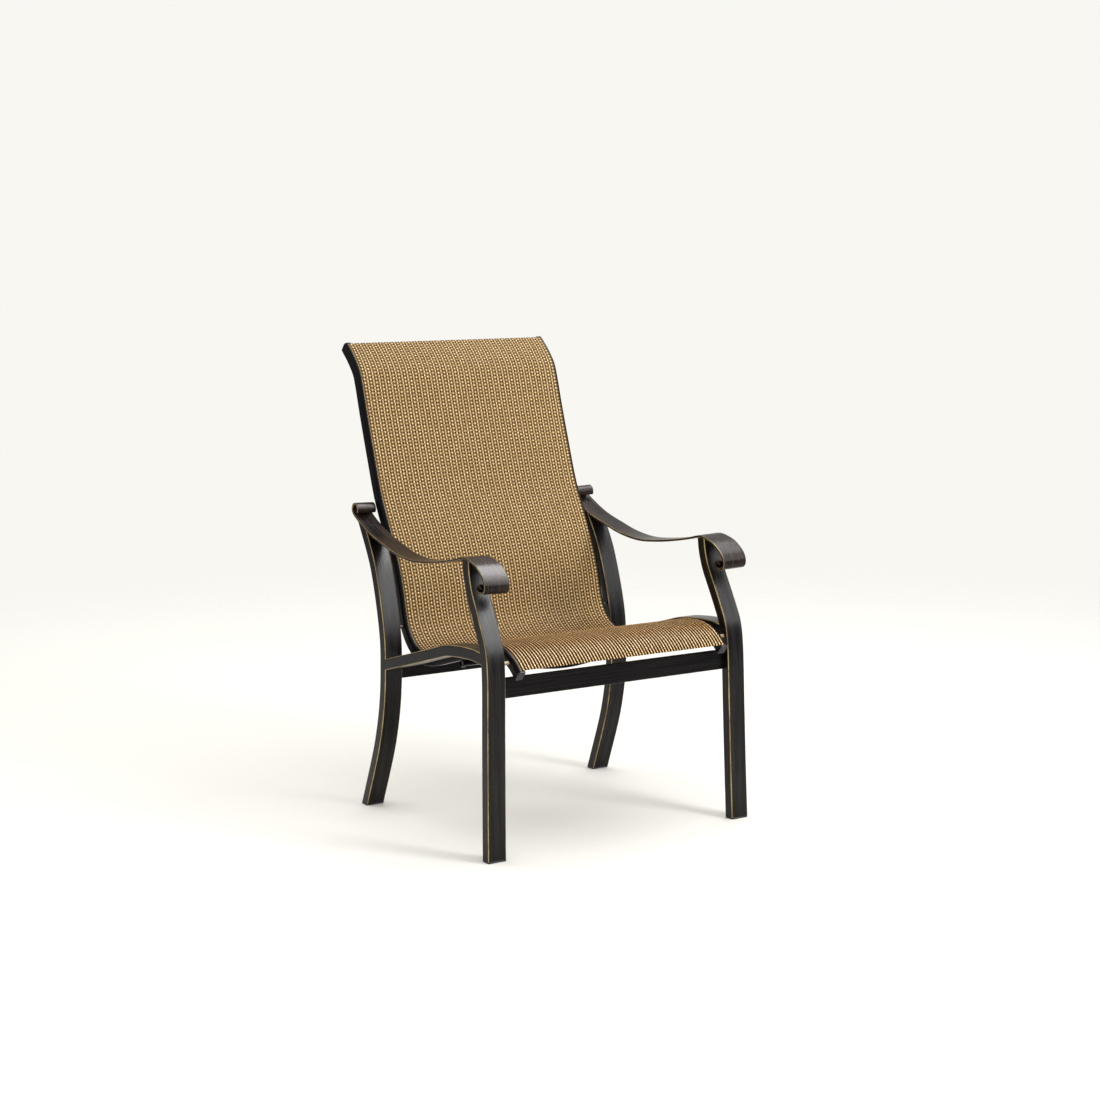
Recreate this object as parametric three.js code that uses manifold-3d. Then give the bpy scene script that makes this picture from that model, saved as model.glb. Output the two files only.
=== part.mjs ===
// Sling patio chair: a frame of bent flat tube with scrolled arms, and a fabric sling
// stretched between two bent rails. X runs across the chair, Y from front to back, Z up.
import * as THREE from 'three';
import { mergeVertices } from 'three/addons/utils/BufferGeometryUtils.js';
import Module from 'manifold-3d';

const wasm = await Module();
wasm.setup();

// Overall sizes in millimetres
const overallWidth = 673; // across the outer faces of the front feet
const frameDepth = 582; // front of the front feet to the back of the rear feet
const noseReach = 13.4; // front edge of the sling, ahead of the front feet
const backReach = 159; // top edge of the sling, behind the rear feet
const seatHeight = 443; // floor to the crest of the sling at the knees
const armRise = 187; // crest of the sling to the highest point of the arms
const backRise = 412; // highest point of the arms to the top edge of the sling
const leanShare = 0.02; // how far a side frame leans in, per height
const toeInShare = 0.01; // how far a side frame turns in, per depth

// Frame members
const tubeWidth = 44;
const tubeThickness = 25.4;
const tubeWall = 2;
const tubeCorner = 3;
const armWidth = 48;
const armThickness = 5;
const armCorner = 1.6;
const scrollWidth = 61; // width of the arm at its front scroll
const armTiltShare = 0.03; // drop of the arm towards its inner edge, per width
const rearRollRadius = 12.5; // middle of the bar in the roll at the rear of an arm
const frontCurlRadius = 8; // middle of the bar in the curl inside the front scroll
const crossRailHeight = 44;
const crossRailThickness = 9.4;
const frontRailSetback = 16; // front face of a leg to the front face of the front cross rail
const gap = 0.3; // between pieces that touch or are welded
const overrun = 30; // by which a cutting shape passes what it cuts

// Foot glides
const glideThickness = 4;
const glidePlugLength = 16;
const plugFit = 0.5; // between a plug and the wall around it

// Sling, its rails and its splines. Depths are measured down from the sitting face.
const sideRoom = 24.5; // outer face of a rail inside the inner face of a front foot
const fabricThickness = 1.8;
const frontEdgeBow = 12; // middle of the front edge, drawn back from its ends
const frontEdgeFullness = 4; // power of the curve of that edge: a higher one is flatter in the middle
const railWidth = 18;
const railOverhang = 8; // outer face of a rail outside the fold of the fabric
const railDepth = 25.8;
const railCorner = 3;
const railOuterCorner = 7;
const railWall = 2;
const railFrontPast = 2; // front end of a rail past the front edge of the fabric
const railTopPast = 4;
const slotFit = 0.35; // between the fabric and each side of the slot
const trackRadius = 3.6; // track that holds the hem
const trackDepth = 7; // middle of the track below the sitting face
const hemRadius = 3;
const hemWall = 0.75;
const splineRadius = 1.75;
const chamberDepth = 12; // top of the hollow under the track
const capThickness = 3;
const capPlugLength = 8;

// Spreader bars behind the sling
const spreaderWidth = 20;
const spreaderDepth = 12;
const spreaderWall = 1.5;
const spreaderCorner = 4;
const spreaderInset = 8; // end of a spreader inside the outer face of its rail
const seatSpreaderBow = 32;
const backSpreaderBow = 24;

// Fasteners
const boltRadius = 3;
const boltHoleRadius = 3.3;
const boltDepth = 15.4; // bolt axis below the sitting face
const boltHeadRadius = 5.8;
const boltHeadHeight = 4;
const boltHeadSides = 6;
const boltGrip = 11; // length of bolt inside a leg
const washerRadius = 6;
const washerThickness = 1.2;
const spacerRadius = 4.2;
const insertRadius = 4.8;
const insertFlangeRadius = 6.5;
const insertLength = 10;
const screwRadius = 2;
const screwHoleRadius = 2.4;
const screwHeadRadius = 4.5;
const screwHeadHeight = 2.6;
const screwBite = 4; // length of a screw past the back wall of a rail

// Fineness of the model
const turnPerStation = 0.14; // radians that a line may turn between two stations
const armTurnPerStation = 0.21;
const longestStation = 90;
const cornerSegments = 2;
const hemSegments = 7;
const trackSegments = 9;
const bowSegments = 12;
const edgeSegments = 16;
const roundSegments = 10;
const curveSamples = 600;

// Side view. A place is [depth share, level share]. Depth: 0 front edge of the sling,
// 1 front feet, 2 rear feet, 3 top edge. Level: 0 floor, 1 seat, 2 arms, 3 top edge.
const depthStops = [-noseReach, 0, frameDepth, frameDepth + backReach];
const levelStops = [0, seatHeight, seatHeight + armRise, seatHeight + armRise + backRise];

const frontLegShares = [
  [1.019, -0.045], [1.02, 0], [1.026, 0.248], [1.032, 0.564], [1.037, 0.858], [1.043, 0.944],
  [1.054, 1.011], [1.073, 1.134], [1.095, 1.267], [1.128, 1.455], [1.153, 1.599], [1.168, 1.722],
  [1.177, 1.84], [1.181, 1.973], [1.181, 2.049],
];
const rearLegShares = [
  [1.995, -0.056], [1.976, 0], [1.932, 0.135], [1.904, 0.221], [1.868, 0.343], [1.838, 0.488],
  [1.823, 0.614], [1.819, 0.74], [1.822, 0.869], [1.84, 0.993], [1.876, 1.364], [1.909, 1.626],
  [1.954, 1.866], [1.988, 2.012], [2.063, 2.073],
];
const sideRailShares = [
  [1.038, 0.953], [1.113, 0.966], [1.196, 0.964], [1.258, 0.957], [1.325, 0.945], [1.4, 0.918],
  [1.601, 0.844], [1.794, 0.775], [1.821, 0.765],
];
const armShares = [
  [2.025, 2.041], [1.926, 1.988], [1.821, 1.902], [1.718, 1.829], [1.593, 1.793], [1.469, 1.821],
  [1.335, 1.882], [1.241, 1.939], [1.203, 1.968], [1.167, 1.986], [1.125, 1.965], [1.086, 1.928],
  [1.058, 1.877], [1.034, 1.818], [1.023, 1.762], [1.02, 1.711], [1.025, 1.668], [1.037, 1.646],
];
const rearRollShare = [2.189, 2.109]; // centre of the roll at the rear of the arm
const frontCurlShare = [1.06, 1.682]; // centre of the curl inside the front scroll
const flareShares = [1.07, 1.345]; // depths where the arm has its full and its plain width
const slingShares = [
  [0, 0.91], [1.017, 0.954], [1.082, 0.992], [1.144, 1], [1.223, 0.992], [1.321, 0.959],
  [1.5, 0.894], [1.584, 0.863], [1.639, 0.85], [1.687, 0.848], [1.742, 0.871], [1.782, 0.912],
  [1.808, 0.962], [1.825, 1.064], [1.844, 1.305], [1.873, 1.578], [1.914, 1.856], [1.967, 2.068],
  [2.038, 2.185], [2.245, 2.406], [2.447, 2.637], [2.566, 2.786], [2.642, 2.859], [2.818, 2.939],
  [3, 3],
];
const frontRailLevelShare = 0.814; // middle of the front cross rail
const rearRailLevelShare = 0.739; // middle of the rear cross rail
const seatSpreaderShare = [1.423, 0.922]; // place on the sling that each spreader lies behind
const lowerSpreaderShare = [1.873, 1.578];
const upperSpreaderShare = [2.447, 2.637];

function between(stops, share) {
  const start = THREE.MathUtils.clamp(Math.floor(share), 0, stops.length - 2);
  return THREE.MathUtils.lerp(stops[start], stops[start + 1], share - start);
}

function place([depthShare, levelShare]) {
  return new THREE.Vector3(0, between(depthStops, depthShare), between(levelStops, levelShare));
}

// A bent line in the side view, held as stations that a section is swept along
class SidePath extends THREE.Curve {
  constructor(stations) {
    super();
    this.stations = stations;
  }

  static through(points, turn = turnPerStation) {
    const curve = new THREE.CatmullRomCurve3(points);
    const stations = [];
    let length = 0;
    let previous = points[0];
    for (let i = 0; i <= curveSamples; i++) {
      const point = curve.getPoint(i / curveSamples);
      const tangent = curve.getTangent(i / curveSamples);
      length += point.distanceTo(previous);
      previous = point;
      const last = stations.at(-1);
      const far = !last || length - last.length >= longestStation;
      if (far || i === curveSamples || tangent.angleTo(last.tangent) >= turn) {
        stations.push({ point, tangent, length });
      }
    }
    return new SidePath(stations);
  }

  // A line whose stations are the points themselves
  static joining(points) {
    const stations = points.map((point, i) => {
      const [last, next] = [points[Math.max(i - 1, 0)], points[Math.min(i + 1, points.length - 1)]];
      return { point, tangent: next.clone().sub(last).normalize(), length: point.distanceTo(points[0]) };
    });
    return new SidePath(stations);
  }

  get steps() {
    return this.stations.length - 1;
  }

  get length() {
    return this.stations.at(-1).length;
  }

  // The station at a length along the line, which runs on straight past both ends
  stationAt(length) {
    const { stations } = this;
    let next = stations.findIndex((station) => station.length > length);
    if (next < 0) next = stations.length - 1;
    const [from, to] = [stations[Math.max(next, 1) - 1], stations[Math.max(next, 1)]];
    const share = (length - from.length) / (to.length - from.length);
    const inside = THREE.MathUtils.clamp(share, 0, 1);
    const tangent = from.tangent.clone().lerp(to.tangent, inside).normalize();
    const point = from.point.clone().lerp(to.point, inside);
    point.addScaledVector(tangent, (share - inside) * (to.length - from.length));
    return { point, tangent, length };
  }

  // The stretch of the line between two lengths
  stretch(start, end) {
    const inner = this.stations.filter((station) => station.length > start && station.length < end);
    return new SidePath([this.stationAt(start), ...inner, this.stationAt(end)]);
  }

  // The line made straight for a reach to both sides of each of these lengths
  withSeats(lengths, reach) {
    const clear = ({ length }) => lengths.every((seat) => Math.abs(length - seat) > reach);
    const ends = lengths.flatMap((seat) => [this.stationAt(seat - reach), this.stationAt(seat + reach)]);
    const stations = [...this.stations.filter(clear), ...ends];
    return new SidePath(stations.sort((a, b) => a.length - b.length));
  }

  getPointAt(share) {
    return this.stations[Math.round(share * this.steps)].point;
  }

  computeFrenetFrames() {
    const tangents = this.stations.map((station) => station.tangent);
    return {
      tangents,
      normals: tangents.map(() => new THREE.Vector3(-1, 0, 0)),
      binormals: tangents.map(upFrom),
    };
  }

  // The points of the line moved by a distance square to it
  shifted(distance) {
    return this.stations.map(({ point, tangent }) => point.clone().addScaledVector(upFrom(tangent), distance));
  }

  // The point where the line is at a height, on its way up or down
  pointAtHeight(height) {
    const end = this.stations.findIndex(({ point }, i) => {
      const last = this.stations[Math.max(i - 1, 0)].point;
      return (point.z - height) * (last.z - height) < 0;
    });
    const [a, b] = [this.stations[end - 1].point, this.stations[end].point];
    return a.clone().lerp(b, (height - a.z) / (b.z - a.z));
  }
}

// Square to a line in the side view: up for a line that runs to the rear
function upFrom(tangent) {
  return new THREE.Vector3(0, -tangent.z, tangent.y);
}

// The length along a path of its station nearest to a point
function lengthNear(path, point) {
  const count = curveSamples;
  let best = { distance: Infinity };
  for (let i = 0; i <= count; i++) {
    const length = (path.length * i) / count;
    const distance = path.stationAt(length).point.distanceTo(point);
    if (distance < best.distance) best = { distance, length };
  }
  return best.length;
}

// Where two lines in the side view cross, each given as a list of points
function crossing(first, second) {
  for (let i = 1; i < first.length; i++) {
    const along = first[i].clone().sub(first[i - 1]);
    for (let j = 1; j < second.length; j++) {
      const other = second[j].clone().sub(second[j - 1]);
      const start = second[j - 1].clone().sub(first[i - 1]);
      const turn = along.y * other.z - along.z * other.y;
      const a = (start.y * other.z - start.z * other.y) / turn;
      const b = (start.y * along.z - start.z * along.y) / turn;
      if (a >= 0 && a <= 1 && b >= 0 && b <= 1) return first[i - 1].clone().addScaledVector(along, a);
    }
  }
  throw new Error('These lines do not cross');
}

// Solids: joining and cutting
function solid(geometry) {
  const bare = geometry.index ? geometry.toNonIndexed() : geometry.clone();
  bare.deleteAttribute('normal');
  bare.deleteAttribute('uv');
  const merged = mergeVertices(bare);
  const vertProperties = new Float32Array(merged.attributes.position.array);
  const triVerts = new Uint32Array(merged.index.array);
  return new wasm.Manifold(new wasm.Mesh({ numProp: 3, vertProperties, triVerts }));
}

function geometryOf(body) {
  const { vertProperties, triVerts } = body.getMesh();
  const geometry = new THREE.BufferGeometry();
  geometry.setAttribute('position', new THREE.BufferAttribute(vertProperties, 3));
  geometry.setIndex(new THREE.BufferAttribute(triVerts, 1));
  geometry.computeVertexNormals();
  return geometry;
}

function joined(bodies) {
  return bodies.reduce((whole, body) => whole.add(body));
}

// Sections, as outlines of points
function arcPoints(x, y, radius, from, to, segments) {
  return Array.from({ length: segments + 1 }, (_, i) => {
    const angle = THREE.MathUtils.degToRad(THREE.MathUtils.lerp(from, to, i / segments));
    return new THREE.Vector2(x + radius * Math.cos(angle), y + radius * Math.sin(angle));
  });
}

function circle(x, y, radius, segments) {
  return arcPoints(x, y, radius, 0, 360, segments).slice(0, segments);
}

// A rectangle from its low to its high corner. Corners are rounded in the order
// high right, high left, low left, low right.
function rounded(low, high, corners) {
  const [a, b, c, d] = corners;
  return [
    ...arcPoints(high.x - a, high.y - a, a, 0, 90, cornerSegments),
    ...arcPoints(low.x + b, high.y - b, b, 90, 180, cornerSegments),
    ...arcPoints(low.x + c, low.y + c, c, 180, 270, cornerSegments),
    ...arcPoints(high.x - d, low.y + d, d, 270, 360, cornerSegments),
  ];
}

function centred(width, height, corner) {
  const high = new THREE.Vector2(width / 2, height / 2);
  return rounded(high.clone().negate(), high, [corner, corner, corner, corner]);
}

function rectangle(low, high) {
  return [high, new THREE.Vector2(low.x, high.y), low, new THREE.Vector2(high.x, low.y)];
}

function tubeSection(width, height, corner, wall) {
  const section = new THREE.Shape(centred(width, height, corner));
  const high = new THREE.Vector2(width / 2 - wall, height / 2 - wall);
  section.holes.push(new THREE.Path(rectangle(high.clone().negate(), high)));
  return section;
}

function sweep(section, path) {
  return new THREE.ExtrudeGeometry(section, { steps: path.steps, extrudePath: path, bevelEnabled: false });
}

// Turns what is drawn flat and raised along Z so that it is drawn in the side view
const [across, back, up] = [[1, 0, 0], [0, 1, 0], [0, 0, 1]].map((axis) => new THREE.Vector3(...axis));
const acrossChair = new THREE.Matrix4().makeBasis(back, up, across);

// A closed outline in the side view, as thick across the chair as width
function slab(points, width) {
  const shape = new THREE.Shape(points.map((point) => new THREE.Vector2(point.y, point.z)));
  const geometry = new THREE.ExtrudeGeometry(shape, { depth: width, bevelEnabled: false });
  return geometry.translate(0, 0, -width / 2).applyMatrix4(acrossChair);
}

// The side view's box between two heights
function storey(low, high) {
  const [front, rear] = [depthStops[0] - overrun, depthStops[3] + overrun];
  const corners = [[front, low], [rear, low], [rear, high], [front, high]];
  return slab(corners.map(([y, z]) => new THREE.Vector3(0, y, z)), overallWidth);
}

// A round bar or hole that runs across the chair between two distances from the middle
function crossRod(side, radius, from, to, { y, z }, segments = roundSegments) {
  const geometry = new THREE.CylinderGeometry(radius, radius, to - from, segments);
  geometry.rotateZ(Math.PI / 2);
  return solid(geometry.translate((side * (from + to)) / 2, y, z));
}

// Side frames are drawn flat, then leaned and turned in on their side of the chair
function outerFaceAt(y, z) {
  return overallWidth / 2 - toeInShare * y - leanShare * z;
}

function innerFaceAt(y, z) {
  return outerFaceAt(y, z) - tubeWidth;
}

function ontoSide(geometry, side) {
  const turned = geometry.index ? geometry.toNonIndexed() : geometry.clone();
  const position = turned.attributes.position;
  for (let i = 0; i < position.count; i++) {
    const [y, z] = [position.getY(i), position.getZ(i)];
    position.setX(i, side * (position.getX(i) + outerFaceAt(y, z) - tubeWidth / 2));
  }
  return side < 0 ? turnedInsideOut(turned) : turned;
}

// What is drawn for the left side, or its mirror image on the right
function mirrored(geometry, side) {
  if (side < 0) return geometry;
  const turned = geometry.index ? geometry.toNonIndexed() : geometry.clone();
  turned.scale(-1, 1, 1);
  return turnedInsideOut(turned);
}

function turnedInsideOut(geometry) {
  const position = geometry.attributes.position;
  const [second, third] = [new THREE.Vector3(), new THREE.Vector3()];
  for (let i = 0; i < position.count; i += 3) {
    second.fromBufferAttribute(position, i + 1);
    third.fromBufferAttribute(position, i + 2);
    position.setXYZ(i + 1, ...third);
    position.setXYZ(i + 2, ...second);
  }
  return geometry;
}

// Finishes
const finishes = {
  bronze: { color: 0x2b2622, roughness: 0.42, metalness: 0.75 },
  fabric: { color: 0xa98d5c, roughness: 0.85, metalness: 0 },
  plastic: { color: 0x3a393b, roughness: 0.6, metalness: 0 },
  nylon: { color: 0xc9ab86, roughness: 0.5, metalness: 0 },
  steel: { color: 0xa7a8aa, roughness: 0.35, metalness: 0.9 },
  spline: { color: 0x1c1b1a, roughness: 0.7, metalness: 0 },
};

const chair = new THREE.Group();

function add(name, finish, geometry) {
  const mesh = new THREE.Mesh(geometry, new THREE.MeshStandardMaterial(finishes[finish]));
  mesh.name = name;
  chair.add(mesh);
}

const sides = [['left', -1], ['right', 1]];

// Lines of the side view
function arc(centre, radius, from, to, segments) {
  return arcPoints(centre.y, centre.z, radius, from, to, segments)
    .map(({ x, y }) => new THREE.Vector3(0, x, y));
}

const frontLegPath = SidePath.through(frontLegShares.map(place));
const rearLegPath = SidePath.through(rearLegShares.map(place));
const sideRailPath = SidePath.through(sideRailShares.map(place));
const slingLine = SidePath.through(slingShares.map(place));
const armLine = armShares.map(place);
const armPath = SidePath.through([
  ...arc(place(rearRollShare), rearRollRadius, 215, -60, roundSegments),
  ...armLine,
  ...arc(place(frontCurlShare), frontCurlRadius, 270, 530, roundSegments),
], armTurnPerStation);
const armRest = armLine.findIndex((point) => point.y < between(depthStops, flareShares[0]));
const armMiddlePath = armPath.stretch(
  lengthNear(armPath, armLine[0]) - 2 * rearRollRadius,
  lengthNear(armPath, armLine[armRest]),
);

// The sling's line is straight where a spreader lies across the backs of the rails
const spreaders = [
  { name: 'seat', share: seatSpreaderShare, bow: seatSpreaderBow },
  { name: 'lower_back', share: lowerSpreaderShare, bow: backSpreaderBow },
  { name: 'upper_back', share: upperSpreaderShare, bow: backSpreaderBow },
];
const spreaderLengths = spreaders.map(({ share }) => lengthNear(slingLine, place(share)));
const slingPath = slingLine.withSeats(spreaderLengths, spreaderWidth / 2 + spreaderCorner);
spreaders.forEach((each, i) => {
  each.station = slingPath.stationAt(spreaderLengths[i]);
});

// Bolts pass through the sling rails where these cross the legs
const boltLine = slingPath.shifted(-boltDepth);
const frontBolt = crossing(boltLine, frontLegPath.shifted(0));
const rearBolt = crossing(boltLine, rearLegPath.shifted(0));
const bolts = [frontBolt, rearBolt];
const boltNames = ['front', 'rear'];
const spacerFinishes = ['nylon', 'plastic'];

// Legs: tubes cut level at the foot and to the underside of the arm at the top
const armUnderside = armMiddlePath.shifted(armThickness / 2 + gap);
const armTilt = new THREE.Matrix4().makeShear(0, armTiltShare, 0, 0, 0, 0);
const aboveArm = slab([
  ...armUnderside,
  armUnderside.at(-1).clone().setZ(levelStops[3]),
  armUnderside[0].clone().setZ(levelStops[3]),
], overallWidth).applyMatrix4(armTilt);
const legEnds = [frontLegPath, rearLegPath].map((path) => path.stationAt(0).point.z);
const footCut = solid(storey(Math.min(...legEnds) - tubeThickness, glideThickness + gap));

function leg(path, side) {
  const tube = solid(sweep(tubeSection(tubeWidth, tubeThickness, tubeCorner, tubeWall), path));
  const cut = tube.subtract(footCut).subtract(solid(aboveArm));
  const holes = bolts.map((bolt) => {
    const face = innerFaceAt(bolt.y, bolt.z);
    return crossRod(side, insertRadius + gap, face - tubeWall, face + 2 * tubeWall, bolt);
  });
  return geometryOf(solid(ontoSide(geometryOf(cut), side)).subtract(joined(holes)));
}

function glide(path, side) {
  const plate = solid(sweep(new THREE.Shape(centred(tubeWidth, tubeThickness, tubeCorner)), path));
  const inside = tubeWall + plugFit;
  const high = new THREE.Vector2(tubeWidth / 2 - inside, tubeThickness / 2 - inside);
  const plug = solid(sweep(new THREE.Shape(rectangle(high.clone().negate(), high)), path));
  const whole = plate.intersect(solid(storey(0, glideThickness)))
    .add(plug.intersect(solid(storey(glideThickness / 2, glidePlugLength))));
  return ontoSide(geometryOf(whole), side);
}

// Side rails: tubes cut to the legs at both ends
function sideRail(side) {
  const tube = solid(sweep(tubeSection(tubeWidth, tubeThickness, tubeCorner, tubeWall), sideRailPath));
  const high = new THREE.Vector2(tubeWidth / 2 + overrun, tubeThickness / 2 + gap);
  const around = new THREE.Shape(rectangle(high.clone().negate(), high));
  const legs = [frontLegPath, rearLegPath].map((path) => solid(sweep(around, path)));
  return ontoSide(geometryOf(tube.subtract(joined(legs))), side);
}

// Arms: flat bars that widen towards the front scroll
function armWidthAt(y) {
  const [full, plain] = flareShares.map((share) => between(depthStops, share));
  return THREE.MathUtils.lerp(scrollWidth, armWidth, THREE.MathUtils.smoothstep(y, full, plain));
}

function arm(side) {
  const geometry = sweep(new THREE.Shape(centred(armWidth, armThickness, armCorner)), armPath);
  const position = geometry.attributes.position;
  for (let i = 0; i < position.count; i++) {
    position.setX(i, (position.getX(i) * armWidthAt(position.getY(i))) / armWidth);
  }
  return ontoSide(geometry.applyMatrix4(armTilt), side);
}

// Cross rails: tubes on edge whose ends follow the inner faces of the legs
function crossRail(middle) {
  const section = tubeSection(crossRailThickness, crossRailHeight, tubeCorner, tubeWall);
  const geometry = new THREE.ExtrudeGeometry(section, { depth: overallWidth, bevelEnabled: false });
  geometry.translate(0, 0, -overallWidth / 2).applyMatrix4(acrossChair).translate(0, middle.y, middle.z);
  const position = geometry.attributes.position;
  for (let i = 0; i < position.count; i++) {
    const end = innerFaceAt(position.getY(i), position.getZ(i)) - gap;
    position.setX(i, Math.sign(position.getX(i)) * end);
  }
  return geometry;
}

// Sling and its rails. Sections have X outwards on the left side and Y up to the sitter.
const railOuter = overallWidth / 2 - tubeWidth - sideRoom;
const fold = railOuter - railOverhang; // edge where the fabric turns down into its rail
const slotMiddle = fold - fabricThickness / 2;
const railInner = railOuter - railWidth;
const railTop = -fabricThickness - gap;
const railBottom = railTop - railDepth;
const railPath = slingPath.stretch(-railFrontPast, slingPath.length + railTopPast);
const trackPath = slingPath.stretch(-overrun, slingPath.length + overrun);
const chamber = {
  low: new THREE.Vector2(railInner + railWall, railBottom + railWall),
  high: new THREE.Vector2(railOuter - railWall, -chamberDepth),
};

function railOutline() {
  const [low, high] = [new THREE.Vector2(railInner, railBottom), new THREE.Vector2(railOuter, railTop)];
  return rounded(low, high, [railOuterCorner, railCorner, railCorner, railCorner]);
}

// The outline goes down one side of the slot, round the track and up the other side
function railSection() {
  const slot = fabricThickness / 2 + slotFit;
  const mouth = THREE.MathUtils.radToDeg(Math.asin(slot / trackRadius));
  const track = arcPoints(slotMiddle, -trackDepth, trackRadius, 90 - mouth, mouth - 270, trackSegments);
  const section = new THREE.Shape(railOutline());
  section.holes.push(new THREE.Path(rectangle(chamber.low, chamber.high)));
  const notch = [
    new THREE.Vector2(slotMiddle + slot, overrun),
    ...track,
    new THREE.Vector2(slotMiddle - slot, overrun),
  ];
  return { section, notch: new THREE.Shape(notch) };
}

function slingSection() {
  const half = fabricThickness / 2;
  const mouth = THREE.MathUtils.radToDeg(Math.asin(half / hemRadius));
  const leftHalf = [
    ...arcPoints(fold - fabricThickness, -fabricThickness, fabricThickness, 90, 0, cornerSegments),
    ...arcPoints(slotMiddle, -trackDepth, hemRadius, 90 - mouth, mouth - 270, hemSegments),
    new THREE.Vector2(fold - fabricThickness, -fabricThickness),
  ];
  const rightHalf = leftHalf.map(({ x, y }) => new THREE.Vector2(-x, y)).reverse();
  const section = new THREE.Shape([...leftHalf, ...rightHalf]);
  for (const middle of [slotMiddle, -slotMiddle]) {
    section.holes.push(new THREE.Path(circle(middle, -trackDepth, hemRadius - hemWall, hemSegments)));
  }
  return section;
}

// The front edge of the fabric is drawn back between the rails in a shallow curve
function slingSheet() {
  const sheet = solid(sweep(slingSection(), slingPath));
  const edge = Array.from({ length: edgeSegments + 1 }, (_, i) => {
    const share = 1 - (2 * i) / edgeSegments;
    const depth = frontEdgeBow * (1 - Math.abs(share) ** frontEdgeFullness);
    return new THREE.Vector2(railInner * share, depth);
  });
  const ahead = [new THREE.Vector2(-railInner, -overrun), new THREE.Vector2(railInner, -overrun)];
  const outside = new THREE.Shape([...ahead, ...edge]);
  const cut = new THREE.ExtrudeGeometry(outside, { depth: 2 * overrun, bevelEnabled: false });
  cut.translate(0, 0, -overrun);
  return geometryOf(sheet.subtract(solid(behindSling(cut, slingPath.stationAt(0)))));
}

// Spreaders, each drawn across the chair on the place of the sling that it lies behind
const spreaderBehind = -railBottom + gap;
const screwMiddle = (railInner + railOuter - spreaderInset) / 2;

// From X along the sling's line, Y across to X across, Y along the line and Z to the sitter
function behindSling(geometry, { point, tangent }) {
  const basis = new THREE.Matrix4().makeBasis(across, tangent, upFrom(tangent));
  return geometry.applyMatrix4(basis.setPosition(point));
}

// A round bar or hole behind a sling rail, between two depths below the sitting face
function screwRod(side, radius, from, to, station) {
  const rod = new THREE.CylinderGeometry(radius, radius, to - from, roundSegments);
  rod.rotateY(Math.PI / roundSegments).rotateX(Math.PI / 2);
  rod.translate(side * screwMiddle, 0, -(from + to) / 2);
  return solid(behindSling(rod, station));
}

function spreader({ bow, station }) {
  const middle = -spreaderBehind - spreaderDepth / 2;
  const bowHalf = railInner - spreaderWidth;
  const bowed = Array.from({ length: bowSegments + 1 }, (_, i) => {
    const share = (2 * i) / bowSegments - 1;
    return [bowHalf * share, (bow * (1 + Math.cos(Math.PI * share))) / 2];
  });
  const flat = [[railInner, 0], [railOuter - spreaderInset, 0]];
  const line = [...flat.map(([x]) => [-x, 0]).reverse(), ...bowed, ...flat]
    .map(([x, depth]) => new THREE.Vector3(0, x, middle - depth));
  const tube = sweep(
    tubeSection(spreaderWidth, spreaderDepth, spreaderCorner, spreaderWall),
    SidePath.joining(line),
  );
  const turned = tube.applyMatrix4(new THREE.Matrix4().makeBasis(back.clone().negate(), across, up));
  const holes = sides.map(([, side]) => {
    return screwRod(side, screwHoleRadius, spreaderBehind - overrun, spreaderBehind + overrun, station);
  });
  return geometryOf(solid(behindSling(turned, station)).subtract(joined(holes)));
}

function slingRail(side) {
  const { section, notch } = railSection();
  const rail = solid(sweep(section, railPath)).subtract(solid(sweep(notch, trackPath)));
  const boltHoles = bolts.map((bolt) => {
    return crossRod(-1, boltHoleRadius, railInner - overrun, railOuter + overrun, bolt);
  });
  const screwHoles = spreaders.map(({ station }) => {
    return screwRod(-1, screwHoleRadius, chamberDepth + railWall, spreaderBehind + overrun, station);
  });
  return mirrored(geometryOf(rail.subtract(joined([...boltHoles, ...screwHoles]))), side);
}

function spline(side) {
  const section = new THREE.Shape(circle(slotMiddle, -trackDepth, splineRadius, hemSegments));
  return mirrored(sweep(section, slingPath), side);
}

// The plate of a cap covers the end of a rail, and its plug goes into the chamber
function endCap(side, plateStart, plateEnd, plugEnd) {
  const fit = new THREE.Vector2(plugFit, plugFit);
  const plug = new THREE.Shape(rectangle(chamber.low.clone().add(fit), chamber.high.clone().sub(fit)));
  const plate = slingPath.stretch(Math.min(plateStart, plateEnd), Math.max(plateStart, plateEnd));
  const core = slingPath.stretch(Math.min(plateStart, plugEnd), Math.max(plateStart, plugEnd));
  const cap = solid(sweep(new THREE.Shape(railOutline()), plate)).add(solid(sweep(plug, core)));
  return mirrored(geometryOf(cap), side);
}

function frontCap(side) {
  const rail = -railFrontPast;
  return endCap(side, rail - gap - capThickness, rail - gap, rail + capPlugLength);
}

function topCap(side) {
  const rail = slingPath.length + railTopPast;
  return endCap(side, rail + gap + capThickness, rail + gap, rail - capPlugLength);
}

// Fasteners of one place where a sling rail is bolted to a leg
function washer(side, middle) {
  const from = railInner - gap - washerThickness;
  const ring = crossRod(side, washerRadius, from, railInner - gap, middle);
  return ring.subtract(crossRod(side, boltHoleRadius, from - overrun, railInner, middle));
}

function bolt(side, middle, legFace) {
  const seat = railInner - gap - washerThickness - gap;
  const head = crossRod(side, boltHeadRadius, seat - boltHeadHeight, seat, middle, boltHeadSides);
  return head.add(crossRod(side, boltRadius, seat - boltHeadHeight / 2, legFace + boltGrip, middle));
}

function spacer(side, middle, legFace) {
  const ring = crossRod(side, spacerRadius, railOuter + gap, legFace - gap, middle);
  return ring.subtract(crossRod(side, boltHoleRadius, railOuter, legFace, middle));
}

function insert(side, middle, legFace) {
  const flange = legFace + tubeWall + gap;
  const whole = crossRod(side, insertRadius, legFace, legFace + insertLength, middle)
    .add(crossRod(side, insertFlangeRadius, flange, legFace + insertLength, middle));
  return whole.subtract(crossRod(side, boltHoleRadius, legFace - overrun, legFace + overrun, middle));
}

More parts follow.
